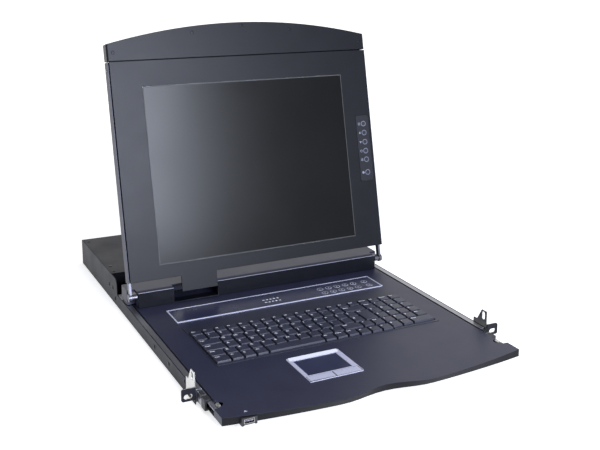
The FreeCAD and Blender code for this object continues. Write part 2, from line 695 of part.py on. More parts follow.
def build_strip():
    left = P.kb_centre - P.strip_width / 2
    right = P.kb_centre + P.strip_width / 2
    near_edge, far_edge = ty(P.strip_near), ty(P.strip_far)
    line = P.strip_line
    frame = Piece("strip_frame")
    frame.grow("XY", tz(0), tz(1), rect(left, right, near_edge, far_edge),
               rect(left + line, right - line, near_edge + line, far_edge - line))
    spots = [(P.kb_centre + 76 + P.strip_pitch * column, ty(P.strip_near + 13.4 + 17.6 * row))
             for column, row in STRIP_BUTTONS]
    overlay = Piece("strip_overlay")
    inset = line + P.fit
    overlay.grow("XY", tz(0), tz(0.7), rect(left + inset, right - inset, near_edge + inset, far_edge - inset),
                 *[disc(x, y, P.strip_button_radius + P.running) for x, y in spots])
    buttons = Piece("strip_buttons")
    buttons.grow("XY", tz(0.3), tz(0.9), *[disc(x, y, P.strip_button_radius) for x, y in spots])


SOCKET_X = Dim.of(-187.0)


def build_front_socket():
    low, high = tz(-9.5), tz(-3.5)
    housing = Piece("usb_housing")
    housing.grow("XZ", ty(-9), ty(2.5), poly([
        (SOCKET_X - 10, tz(-11.6)), (SOCKET_X - 7.2, tz(-11.6)), (SOCKET_X - 6.4, tz(-10.6)),
        (SOCKET_X + 6.4, tz(-10.6)), (SOCKET_X + 7.2, tz(-11.6)), (SOCKET_X + 10, tz(-11.6)),
        (SOCKET_X + 10, tz(-1.8)), (SOCKET_X - 10, tz(-1.8))]),
        rect(SOCKET_X - 6.8, SOCKET_X + 6.8, low - 0.1, high + 0.1))
    housing.grow("XZ", ty(-8), ty(2.5), rect(SOCKET_X - 5.4, SOCKET_X + 5.4, tz(-5.9), tz(-4.3)))
    housing.grow("XZ", ty(1.3), ty(2.5), rect(SOCKET_X - 7, SOCKET_X + 7, low - 0.3, high + 0.3))
    shell = Piece("usb_shell")
    shell.grow("XZ", ty(-8.6), ty(1.2), rect(SOCKET_X - 6.7, SOCKET_X + 6.7, low, high),
               rect(SOCKET_X - 6.2, SOCKET_X + 6.2, low + 0.5, high - 0.5))


def build_release_levers():
    for word, side in SIDES:
        lever = Piece("release_lever_" + word)
        spot = ty(P.wing_length + 10.5)
        x0, x1 = span(side, TRAY_HALF - 3.2, TRAY_HALF - 0.3)
        box(lever, x0, x1, spot - 4, spot + 4, tz(-8), tz(-0.6))
        x0, x1 = span(side, TRAY_HALF - 0.3, COLLAR_FACE - 0.3)
        box(lever, x0, x1, spot - 3, spot + 3, tz(-2.2), tz(-0.6))


# ---------------------------------------------------------------- hinge block
AXIS_Y = ty(P.axis_y)
AXIS_Z = tz(P.axis_level)


def build_hinge_block():
    base = Piece("hinge_base")
    front = ty(P.block_front)
    top = tz(P.block_top)
    skin = Dim.of(1.5)
    base.grow("YZ", -P.block_half, P.block_half, poly([
        (front, tz(0)), (front + 19, tz(0)), (front + 19, tz(1.2)), (front + skin, tz(1.2)),
        (front + skin, top - 1.2), (front + 4, top - 1.2), (front + 4, top), (front, top)]))
    cut_box(base, P.passage_left, P.passage_right, front - 1, front + 6, tz(1.2), top + 1)

    cover = Piece("hinge_cover")
    rear = ty(P.cover_end)
    nose = front + 5.2
    high = top + 0.2
    profile = [(nose, tz(1.3)), (nose, high - 6), (nose + 0.8, high - 3.1), (nose + 2.5, high - 1.1),
               (nose + 4.8, high - 0.3), (nose + 7.5, high)]
    cover.grow("YZ", -P.block_half, P.block_half, poly([(rear, tz(1.3))] + profile + [(rear, high)]))
    cover.grow("YZ", -P.cover_half, P.cover_half, rect(ty(P.cover_front), rear, tz(1.3), high))
    cover.carve("YZ", -P.block_half + 1.6, P.block_half - 1.6, poly([
        (nose + 1.6, tz(1)), (nose + 1.6, high - 6), (nose + 4, high - 1.9), (rear - 1.6, high - 1.9),
        (rear - 1.6, tz(1))]))
    cover.carve("YZ", -P.cover_half + 1.6, P.cover_half - 1.6,
                rect(ty(P.cover_front) + 1.6, rear - 1.6, tz(1), high - 1.9))
    cut_box(cover, P.passage_left, P.passage_right, nose - 1, nose + 11, tz(1), high + 1)

    pivots = Piece("hinge_pivots")
    for _, side in SIDES:
        x0, x1 = span(side, P.block_half + 1, P.block_half + 8.7)
        p0, p1 = span(side, P.block_half + 8.7, ARM_OUT + 0.4)
        d0, d1 = span(side, ARM_OUT + 0.3, ARM_OUT + 1.4)
        pivots.grow("YZ", x0, x1, disc(AXIS_Y, AXIS_Z, 5))
        pivots.grow("YZ", x0, x1, rect(AXIS_Y, ty(P.cover_front), AXIS_Z - 5, AXIS_Z + 5))
        pivots.grow("YZ", p0, p1, disc(AXIS_Y, AXIS_Z, P.pin_radius))
        pivots.grow("YZ", d0, d1, disc(AXIS_Y, AXIS_Z, 6.2))


# ---------------------------------------------------------------- monitor, in its own leaning frame
ARM_OUT = P.panel_half - P.sheet - 0.1
LATCH_Y = ty(P.axis_y + P.rest_extension - P.latch_height)


def leaning(piece):
    """Hang a piece built about the hinge axis on that axis, leaning back from upright."""
    body = piece.body
    body.Placement = FreeCAD.Placement(
        FreeCAD.Vector(0, AXIS_Y.value, AXIS_Z.value),
        FreeCAD.Rotation(FreeCAD.Vector(-1, 0, 0), SIZES["lean"]))
    bind(body, "Placement.Base.y", AXIS_Y)
    bind(body, "Placement.Base.z", AXIS_Z)
    bind(body, "Placement.Rotation.Angle", P.lean)
    return piece


def build_monitor():
    face = -P.face_offset
    back = face + P.panel_depth
    low, joint = P.panel_low, P.joint_level
    half = P.panel_half
    inner = half - P.sheet

    shell = leaning(Piece("monitor_shell"))
    shell.grow("XZ", face + 1.2, back, rect(-half, half, low, joint))
    shell.carve("XZ", face, back - P.sheet, rect(-inner, inner, low + P.sheet, joint + 5))
    cut_box(shell, -inner, inner, face, face + 2.2, low - 1, low + 3)
    for _, side in SIDES:
        x0, x1 = span(side, inner - 4.4, inner)
        cut_box(shell, x0, x1, face, back - P.sheet, low - 1, low + 2)
        h0, h1 = span(side, inner - 1, half + 1)
        shell.carve("YZ", h0, h1, disc(-1, P.latch_height, P.latch_radius + P.running))
    cut_box(shell, P.flap_left + 6, P.flap_right - 6, -6, 3, low - 1, low + 2)

    bezel = leaning(Piece("monitor_bezel"))
    edge = P.bezel_half
    rear = face + P.bezel_thick
    bezel.grow("XZ", face, rear, poly([
        (-edge, low), (P.flap_left, low), (P.flap_left, P.flap_low), (P.flap_right, P.flap_low),
        (P.flap_right, low), (edge, low), (edge, joint), (-edge, joint)]),
        rect(-P.window_half, P.window_half, P.window_low, P.window_high),
        rect(P.osd_left - 0.15, P.osd_right + 0.15, P.osd_low - 0.15, P.osd_high + 0.15))
    for _, side in SIDES:
        x0, x1 = span(side, edge - P.sheet, edge)
        box(bezel, x0, x1, rear, rear + 5.5, low + 60, joint)

    cover = leaning(Piece("arch_cover"))
    base = joint + P.joint_gap
    rise = [(half * (1 - index / 12.0), P.corner_level + P.arch_rise * (1 - (1 - index / 12.0) ** 2))
            for index in range(25)]
    cover.grow("XZ", face, back, poly([(-half, base), (half, base)] + rise))
    room = [((half - 1.5) * (1 - index / 12.0),
             P.corner_level - 2 + P.arch_rise * (1 - (1 - index / 12.0) ** 2)) for index in range(25)]
    cover.carve("XZ", face + 1.5, back - 1.5, poly([(-half + 1.5, base - 1), (half - 1.5, base - 1)] + room))
    cover.carve("XZ", face - 1, face + 2, *[disc(x, z, 1.55) for x, z in arch_screw_spots()])
    # tongue that plugs into the shell
    box(cover, -half + 8, half - 8, back - 2.8, back - 1.3, joint - 9, base + 6)
    cover.soften(2.4, lambda edge_: edge_runs(edge_, 2) and near(abs(edge_.CenterOfMass.x), half)
                 and near(edge_.CenterOfMass.y, face), "Chamfer")

    screws = leaning(Piece("arch_screws"))
    for x, z in arch_screw_spots():
        screws.grow("XZ", face, face + 1.6, disc(x, z, 1.5))
        screws.grow("XZ", face - 0.7, face, disc(x, z, 2.7))

    panel = leaning(Piece("lcd_panel"))
    box(panel, -P.window_half - 4, P.window_half + 4, rear + 0.2, rear + 7, P.window_low - 4, P.window_high + 4)
    glass = leaning(Piece("lcd_glass"))
    box(glass, -P.window_half + P.fit, P.window_half - P.fit, face + 0.9, rear + 0.2,
        P.window_low + P.fit, P.window_high - P.fit)

    osd = leaning(Piece("osd_panel"))
    osd.grow("XZ", face - 0.3, rear, rect(P.osd_left, P.osd_right, P.osd_low, P.osd_high),
             *[disc(OSD_X, z, P.button_radius + P.running) for z in OSD_LEVELS])
    for index, z in enumerate(OSD_LEVELS, start=1):
        button = leaning(Piece("osd_button_%d" % index))
        button.grow("XZ", face - 0.3 - P.button_rise, rear + 1.2, disc(OSD_X, z, P.button_radius))

    for word, side in SIDES:
        arm = leaning(Piece("hinge_arm_" + word))
        x0, x1 = span(side, ARM_OUT - 3.4, ARM_OUT)
        arm.grow("YZ", x0, x1, disc(0, 0, 6.4))
        arm.grow("YZ", x0, x1, rect(-4.5, 4.5, 0, low + 50))
        arm.carve("YZ", x0 - 1, x1 + 1, disc(0, 0, P.pin_radius + P.running))
        pin = leaning(Piece("latch_pin_" + word))
        x0, x1 = span(side, half - 6.5, P.latch_reach)
        pin.grow("YZ", x0, x1, disc(-1, P.latch_height, P.latch_radius))
        pin.soften(0.9, lambda edge_: near(abs(edge_.CenterOfMass.x), P.latch_reach), "Chamfer")


OSD_X = P.osd_left + 13.8
OSD_LEVELS = [P.osd_low + offset for offset in (96.9, 81.5, 65.8, 50.5, 35.7, 13.8)]


def arch_screw_spots():
    level = P.corner_level
    return [(-P.panel_half + 9.5, level - 13.3), (Dim.of(-84), level + 12.8), (Dim.of(0), level + 21.6),
            (Dim.of(84), level + 12.8), (P.panel_half - 9.5, level - 13.3)]


# ---------------------------------------------------------------- build, check and write
for stage in (build_chassis_pan, build_rear_panel, build_top_cover, build_chassis_screws, build_rack_ears,
              build_rear_fittings, build_electronics, build_slides, build_tray_shell, build_tray_floor,
              build_keyboard, build_touchpad, build_strip, build_front_socket, build_release_levers,
              build_hinge_block, build_monitor):
    stage()
doc.recompute()

faults = [item.Name for item in doc.Objects if "Invalid" in item.State or "Error" in item.State]
for node in NODES:
    if node.Shape.isNull() or not node.Shape.isValid():
        faults.append(node.Name)
if faults:
    raise SystemExit("faulty objects: " + ", ".join(faults))

os.makedirs(OUTPUT_FOLDER, exist_ok=True)
for node in NODES:
    node.Shape.exportStep(os.path.join(OUTPUT_FOLDER, node.Label + ".step"))
print("%d nodes written" % len(NODES))
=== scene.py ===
"""Dresses the rack console drawer: its finishes, small trim, lettering and studio.

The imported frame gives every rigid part.  This script adds the edges, fasteners, legends and
surface finishes that the eye looks for, all in metres and in the frame's own axes.
"""

import json
import logging
import math
from collections.abc import Iterable, Sequence
from dataclasses import dataclass, field
from enum import Enum

import bmesh
import bpy
from bmesh.types import BMEdge, BMesh, BMVert
from bpy.types import ID, Material, Node, NodeSocket, NodeTree, Object, World
from mathutils import Matrix, Vector

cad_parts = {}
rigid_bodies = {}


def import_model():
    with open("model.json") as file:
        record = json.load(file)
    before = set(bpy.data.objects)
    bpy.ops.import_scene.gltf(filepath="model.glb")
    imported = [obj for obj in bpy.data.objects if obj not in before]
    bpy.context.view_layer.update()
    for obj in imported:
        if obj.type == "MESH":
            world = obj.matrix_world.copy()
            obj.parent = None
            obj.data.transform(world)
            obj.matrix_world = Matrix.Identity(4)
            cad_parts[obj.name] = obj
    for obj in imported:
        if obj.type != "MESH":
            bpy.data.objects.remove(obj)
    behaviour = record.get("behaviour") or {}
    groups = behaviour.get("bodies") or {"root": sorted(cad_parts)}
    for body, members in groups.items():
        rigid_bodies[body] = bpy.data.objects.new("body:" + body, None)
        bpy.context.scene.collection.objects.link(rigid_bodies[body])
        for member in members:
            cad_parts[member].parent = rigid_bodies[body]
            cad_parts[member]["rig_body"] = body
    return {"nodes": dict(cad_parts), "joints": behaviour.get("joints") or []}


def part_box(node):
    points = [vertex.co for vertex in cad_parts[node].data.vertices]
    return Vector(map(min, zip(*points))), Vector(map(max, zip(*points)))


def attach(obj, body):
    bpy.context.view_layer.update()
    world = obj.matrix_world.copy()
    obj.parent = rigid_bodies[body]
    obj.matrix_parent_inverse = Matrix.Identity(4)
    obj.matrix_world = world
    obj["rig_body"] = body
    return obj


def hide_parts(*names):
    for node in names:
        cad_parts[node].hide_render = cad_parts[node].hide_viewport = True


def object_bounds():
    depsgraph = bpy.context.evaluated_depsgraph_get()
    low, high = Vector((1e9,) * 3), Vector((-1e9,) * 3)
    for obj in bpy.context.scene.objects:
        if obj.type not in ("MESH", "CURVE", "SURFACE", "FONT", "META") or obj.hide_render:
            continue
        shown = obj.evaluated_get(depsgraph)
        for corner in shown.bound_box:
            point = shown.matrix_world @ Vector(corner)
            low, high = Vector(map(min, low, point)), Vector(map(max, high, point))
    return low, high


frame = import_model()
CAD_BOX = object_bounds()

LOG = logging.getLogger("console_drawer")
MM = 0.001

# The monitor leans back from upright about its hinge line; its trim is made upright and then leant.
LEAN = math.radians(12.4)
HINGE_LINE = Vector(next(j for j in frame["joints"] if j["name"] == "monitor_hinge")["pos_m"])
MONITOR_PLACE = Matrix.Translation(HINGE_LINE) @ Matrix.Rotation(-LEAN, 4, "X")


# ------------------------------------------------------------------ colour and material tools
def linear(code: str) -> tuple[float, float, float, float]:
    """Turn an sRGB hex colour into the linear RGBA that shaders take.

    Args:
        code: Colour such as "2A2C3C", with or without a leading hash.

    Returns:
        Linear red, green, blue and an alpha of 1.
    """
    text = code.lstrip("#")
    channels = [int(text[i:i + 2], 16) / 255 for i in (0, 2, 4)]
    red, green, blue = [c / 12.92 if c <= 0.04045 else ((c + 0.055) / 1.055) ** 2.4 for c in channels]
    return red, green, blue, 1.0


def add_node(tree: NodeTree, kind: str, links: dict | None = None,
             **settings: object) -> Node:
    """Add one shader node with its settings, socket values and links.

    Args:
        tree: Node tree that takes the node.
        kind: Type name of the node.
        links: Input socket name or index, to an output socket or a plain value.
        settings: Attributes of the node itself.

    Returns:
        The new node.
    """
    node = tree.nodes.new(kind)
    for name, value in settings.items():
        setattr(node, name, value)
    for name, value in (links or {}).items():
        if isinstance(value, NodeSocket):
            tree.links.new(value, node.inputs[name])
        else:
            node.inputs[name].default_value = value
    return node


def bare_tree(owner: Material | World) -> NodeTree:
    """Empty the node tree of a material or a world.

    Args:
        owner: The material or world.

    Returns:
        Its empty node tree.
    """
    owner.use_nodes = True
    owner.node_tree.nodes.clear()
    return owner.node_tree


def linked(name: str, data: ID) -> Object:
    """Put an object into the scene.

    Args:
        name: Object name.
        data: Its mesh, curve, lamp or lens.

    Returns:
        The new object.
    """
    made = bpy.data.objects.new(name, data)
    bpy.context.scene.collection.objects.link(made)
    return made


@dataclass(frozen=True)
class Finish:
    """Base of every finish: a named material whose grain is drawn by noise in object space.

    Attributes:
        name: Material name, in a maker's words.
        colour: Body colour as sRGB hex.
        shade: Second colour that the mottling drifts to.
        roughness: Mean roughness.
        spread: How far roughness wanders either side of its mean.
        grain_mm: Size of the grain that the bump shows.
        relief_mm: Height of that grain.
        metallic: Metal share, 0 or 1.
        coat: Weight of a clear coat.
        drift_mm: Size of the broad mottling of colour and gloss.
        stretch: Stretch of both patterns along X, Y and Z.
        specular: Specular level of the shader.
    """

    name: str
    colour: str
    shade: str
    roughness: float = 0.45
    spread: float = 0.05
    grain_mm: float = 1.2
    relief_mm: float = 0.02
    metallic: float = 0.0
    coat: float = 0.0
    drift_mm: float = 45.0
    stretch: tuple[float, float, float] = (1.0, 1.0, 1.0)
    specular: float = 0.5

    def build(self) -> Material:
        """Make the material's node tree.

        Returns:
            The finished material.
        """
        found = bpy.data.materials.get(self.name)
        if found is not None:
            return found
        material = bpy.data.materials.new(self.name)
        tree = bare_tree(material)
        where = add_node(tree, "ShaderNodeTexCoord").outputs["Object"]
        spot = add_node(tree, "ShaderNodeMapping",
                        {"Vector": where, "Scale": self.stretch}).outputs["Vector"]
        broad = add_node(tree, "ShaderNodeTexNoise",
                         {"Vector": spot, "Scale": 1000 / self.drift_mm, "Detail": 3.0, "Roughness": 0.6})
        fine = add_node(tree, "ShaderNodeTexNoise",
                        {"Vector": spot, "Scale": 1000 / self.grain_mm, "Detail": 2.0, "Roughness": 0.5})
        colour = add_node(tree, "ShaderNodeMix", {0: broad.outputs["Fac"], 6: linear(self.colour),
                                                  7: linear(self.shade)}, data_type="RGBA")
        rough = add_node(tree, "ShaderNodeMapRange",
                         {"Value": broad.outputs["Fac"], "From Min": 0.3, "From Max": 0.7,
                          "To Min": self.roughness - self.spread, "To Max": self.roughness + self.spread})
        bump = add_node(tree, "ShaderNodeBump", {"Height": fine.outputs["Fac"], "Strength": 0.5,
                                                 "Distance": self.relief_mm * MM})
        shader = add_node(tree, "ShaderNodeBsdfPrincipled",
                          {"Base Color": colour.outputs[2], "Roughness": rough.outputs["Result"],
                           "Normal": bump.outputs["Normal"], "Metallic": self.metallic,
                           "Coat Weight": self.coat, "Coat Roughness": 0.12,
                           "Specular IOR Level": self.specular})
        add_node(tree, "ShaderNodeOutputMaterial", {"Surface": shader.outputs["BSDF"]})
        return material


# Powder coat on steel sheet: sprayed and baked, so it has a fine orange peel and an even satin gloss.
POWDER_COAT = Finish("powder_coat_blue_black", "1D1F33", "212339", roughness=0.44, spread=0.025,
                     grain_mm=1.6, relief_mm=0.03, specular=0.42)
# The same coat on the outer chassis and rack ears: flatter, and painted darker than the tray's coat, as
# shade.
CHASSIS_SHADED_COAT = Finish("powder_coat_chassis", "10111A", "131420", roughness=0.5, grain_mm=1.6,
                      relief_mm=0.03, specular=0.2)
# The same coat painted darker, as shade, on the screen surround, the arched cover and the hinge block,
# whose faces turn to the front; it is a little smoother where hands and cloths have passed.
DARK_SHADED_COAT = Finish("powder_coat_screen_surround", "0C0D15", "0F1018", roughness=0.34, spread=0.015,
                    grain_mm=1.6, relief_mm=0.02, specular=0.15)
# The folded lip of the hinge block: a pale painted highlight along its rounded top front edge, where the
# light catches it.
LIP_HIGHLIGHT_PAINT = Finish("polished_folded_lip", "8E91A6", "868A9E", roughness=0.3, grain_mm=1.0, relief_mm=0.01)
# Bright zinc plate: soft, pale and slightly cloudy, with faint rolling lines along the sheet.
ZINC = Finish("bright_zinc_plate", "D6D5CF", "BFBEB9", roughness=0.34, metallic=1.0, grain_mm=2.2,
              relief_mm=0.02, stretch=(1.0, 0.15, 1.0))
# Cold-rolled slide steel: drawn lines along the run, and a thin film of grease that evens the gloss.
SLIDE_STEEL = Finish("cold_rolled_slide_steel", "A6A6AC", "8E8E96", roughness=0.36, metallic=1.0,
                     grain_mm=1.5, relief_mm=0.015, stretch=(1.0, 0.05, 1.0))
# Burnished steel of the monitor's pivots: darker than plate, with turning marks.
PIVOT_STEEL = Finish("burnished_pivot_steel", "606068", "54545C", roughness=0.36, metallic=1.0,
                     grain_mm=0.8, relief_mm=0.02)
# Screws blackened in a hot salt bath: thin, dark and a little oily.
BLACK_OXIDE = Finish("black_oxide_screw", "1A1B20", "141519", roughness=0.34, metallic=0.8, grain_mm=0.5)
# Hot-dip galvanised sheet of the inner cases: pale grey with broad soft spangle.
SUPPLY_CASE = Finish("galvanised_case_sheet", "B4B5B6", "A2A3A5", roughness=0.38, metallic=1.0,
                     grain_mm=3.0)
# Nickel plate on drawn connector shells: smooth and faintly warm.
NICKEL = Finish("nickel_plated_shell", "C8C6C0", "B9B7B2", roughness=0.26, metallic=1.0, grain_mm=0.8)
# Gold flash on contacts, worn slightly dull by the plugs.
CONTACT_GOLD = Finish("gold_flashed_contact", "C9A45A", "B8934A", roughness=0.3, metallic=1.0, grain_mm=0.5)
# Solder mask on the board: a green lacquer over copper and glass cloth.
SOLDER_MASK = Finish("green_solder_mask", "1F5A36", "1B4F30", roughness=0.3, coat=0.4, grain_mm=1.0)
# Nylon 6 moulding: even, dark, slightly waxy.
NYLON = Finish("moulded_black_nylon", "17181C", "1C1D22", roughness=0.5, grain_mm=0.8)
# Glass-filled body of the connectors, straight from a fine-sparked mould.
CONNECTOR = Finish("moulded_connector_body", "16181E", "1B1D24", roughness=0.48, grain_mm=0.6)
# Rocker of the mains switch: polished ABS with almost no grain.
ROCKER = Finish("polished_rocker_abs", "141519", "18191E", roughness=0.22, grain_mm=0.8, relief_mm=0.004)
# Near-black matt colour on the front faces of the tray's nose: painted shade for faces that turn away from
# the lamps.
NOSE_SHADE_PAINT = Finish("matt_black_edge_strip", "08080C", "0B0B10", roughness=0.6, specular=0.2, grain_mm=0.9)
# ABS keycaps with a spark-eroded texture, worn a little smoother on top.
KEY_ABS = Finish("textured_abs_keycap", "262838", "2B2D40", roughness=0.42, grain_mm=0.7, relief_mm=0.03,
                 specular=0.5)
# The keyboard's surround: the same texture, duller because nobody touches it.
KEYBOARD_ABS = Finish("textured_abs_surround", "1C1E2C", "212334", roughness=0.45, grain_mm=0.8)
# Silver lacquer sprayed on smooth ABS, under a clear coat.
PAD_LACQUER = Finish("silver_lacquered_abs", "CCCBDE", "C2C1D6", roughness=0.28, grain_mm=0.5,
                     relief_mm=0.006, coat=0.5)
# The bar behind the pad has the pad's lacquer, painted whiter as a highlight where its forward-sloping top
# catches the light.
PAD_BAR_HIGHLIGHT = Finish("pearl_lacquered_bar", "F2F2FA", "EAEAF4", roughness=0.24, grain_mm=0.5,
                 relief_mm=0.004, coat=0.5)
# Polyester film over the touch sensor.
PAD_FILM = Finish("smooth_polyester_film", "262A42", "2B2F4A", roughness=0.34, grain_mm=0.6, relief_mm=0.01)
# Thin anodised frame of the port strip, brushed along its length.
STRIP_ALU = Finish("satin_anodised_aluminium", "D2D3E6", "C6C7DC", roughness=0.32, metallic=0.2,
                   grain_mm=1.2, relief_mm=0.01, stretch=(0.06, 1.0, 1.0))
# Overlay film of the port strip, printed from behind, and its keys that are embossed in the same film.
STRIP_FILM = Finish("printed_overlay_film", "272A42", "2C2F48", roughness=0.3, grain_mm=0.7,
                    relief_mm=0.012, specular=0.6)
STRIP_KEY = Finish("embossed_overlay_key", "22263A", "272B42", roughness=0.36, grain_mm=0.6, relief_mm=0.01)
# Rings round those keys: a bright plated moulding.
STRIP_RING = Finish("chromed_button_ring", "D8D9E8", "CACBDE", roughness=0.3, grain_mm=0.6, relief_mm=0.004)
# Polariser film on the display: dark and even with a soft anti-glare sheen.
POLARISER = Finish("anti_glare_polariser", "040508", "06070A", roughness=0.2, spread=0.02, grain_mm=0.5,
                   relief_mm=0.003, drift_mm=200.0, specular=0.16)
# Controls beside the screen: a textured panel, satin caps and their grey rims, all ABS.
CONTROL_ABS = Finish("textured_abs_control_panel", "12131B", "15161F", roughness=0.44, grain_mm=0.7,
                     specular=0.2)
CONTROL_CAP = Finish("satin_abs_button", "1C1D28", "20212C", roughness=0.3, grain_mm=0.6, relief_mm=0.008,
                     specular=0.3)
CONTROL_RIM = Finish("grey_abs_button_rim", "6E7184", "686B7D", roughness=0.34, grain_mm=0.6,
                     relief_mm=0.006)
# Pad-printed inks: white for legends and numbers, grey for marks, and a dimmer grey beside the screen.
LEGEND_INK = Finish("white_legend_ink", "F2F2F8", "EAEAF2", roughness=0.5, grain_mm=0.3, relief_mm=0.004)
ICON_INK = Finish("grey_icon_ink", "B4B7CC", "ACAFC4", roughness=0.5, grain_mm=0.3, relief_mm=0.004)
SIGN_INK = Finish("dim_grey_sign_ink", "7C7F92", "767989", roughness=0.5, grain_mm=0.3, relief_mm=0.004)

SIDES = ("left", "right")
NODE_FINISHES: dict[str, Finish] = {
    # Painted shade: the chassis and rack ears take the darker copy of the coat.
    **dict.fromkeys(("chassis_pan", "rear_panel", "top_cover", "rack_ear_left", "rack_ear_right"),
                    CHASSIS_SHADED_COAT),
    **dict.fromkeys(("tray_shell", "tray_floor", "hinge_cover", "monitor_shell"), POWDER_COAT),
    # Painted shade: the front-facing surround, arched cover and hinge block take the darker copy of the
    # coat.
    **dict.fromkeys(("hinge_base", "monitor_bezel", "arch_cover"), DARK_SHADED_COAT),
    **dict.fromkeys(("chassis_screws", "arch_screws"), BLACK_OXIDE),
    **{f"{part}_{side}": ZINC
       for part in ("latch_bracket", "release_lever", "latch_pin") for side in SIDES},
    **{f"slide_{stage}_{side}": SLIDE_STEEL for stage in ("outer", "middle", "inner") for side in SIDES},
    **dict.fromkeys(("hinge_pivots", "hinge_arm_left", "hinge_arm_right"), PIVOT_STEEL),
    **dict.fromkeys(("slide_guides", "usb_housing"), NYLON),
    **dict.fromkeys(("power_supply", "lcd_panel"), SUPPLY_CASE),
    **dict.fromkeys(("port_shells", "usb_shell"), NICKEL),
    **dict.fromkeys(("keyboard_frame", "keyboard_base"), KEYBOARD_ABS),
    **dict.fromkeys(("keys_function", "keys_typing", "key_space", "keys_arrows", "keys_numpad"), KEY_ABS),
    **dict.fromkeys(("touchpad_frame", "touchpad_button_left", "touchpad_button_right"), PAD_LACQUER),
    "touchpad_surface": PAD_FILM, "main_board": SOLDER_MASK, "port_inserts": CONNECTOR,
    "power_rocker": ROCKER,
    "strip_frame": STRIP_ALU, "strip_overlay": STRIP_FILM, "strip_buttons": STRIP_KEY,
    "lcd_glass": POLARISER, "osd_panel": CONTROL_ABS,
    **{f"osd_button_{index}": CONTROL_CAP for index in range(1, 7)},
}


def dress_nodes() -> None:
    """Give every carried-over CAD node its finish."""
    for name, finish in NODE_FINISHES.items():
        mesh = frame["nodes"][name].data
        mesh.materials.clear()
        mesh.materials.append(finish.build())


# ------------------------------------------------------------------ studio
def seen_directly(tree: NodeTree) -> NodeSocket:
    """Tell what is looked at, mirrored or seen through from what only gives light.

    Args:
        tree: Node tree that takes the nodes.

    Returns:
        Socket that is 1 for a camera, mirror or transmission ray, and 0 for any other.
    """
    rays = add_node(tree, "ShaderNodeLightPath").outputs
    both = add_node(tree, "ShaderNodeMath", {0: rays["Is Camera Ray"], 1: rays["Is Glossy Ray"]},
                    operation="MAXIMUM")
    return add_node(tree, "ShaderNodeMath", {0: both.outputs[0], 1: rays["Is Transmission Ray"]},
                    operation="MAXIMUM").outputs[0]


@dataclass(frozen=True)
class Softbox:
    """One soft lamp.

    Attributes:
        name: Lamp name.
        place: Centre in metres.
        aim: Point that it faces.
        width: Width in metres.
        height: Height in metres.
        power: Power in watts.
        colour: Colour of its light as sRGB hex, a cool daylight.
    """

    name: str
    place: tuple[float, float, float]
    aim: tuple[float, float, float]
    width: float
    height: float
    power: float
    colour: str = "E6EEFF"


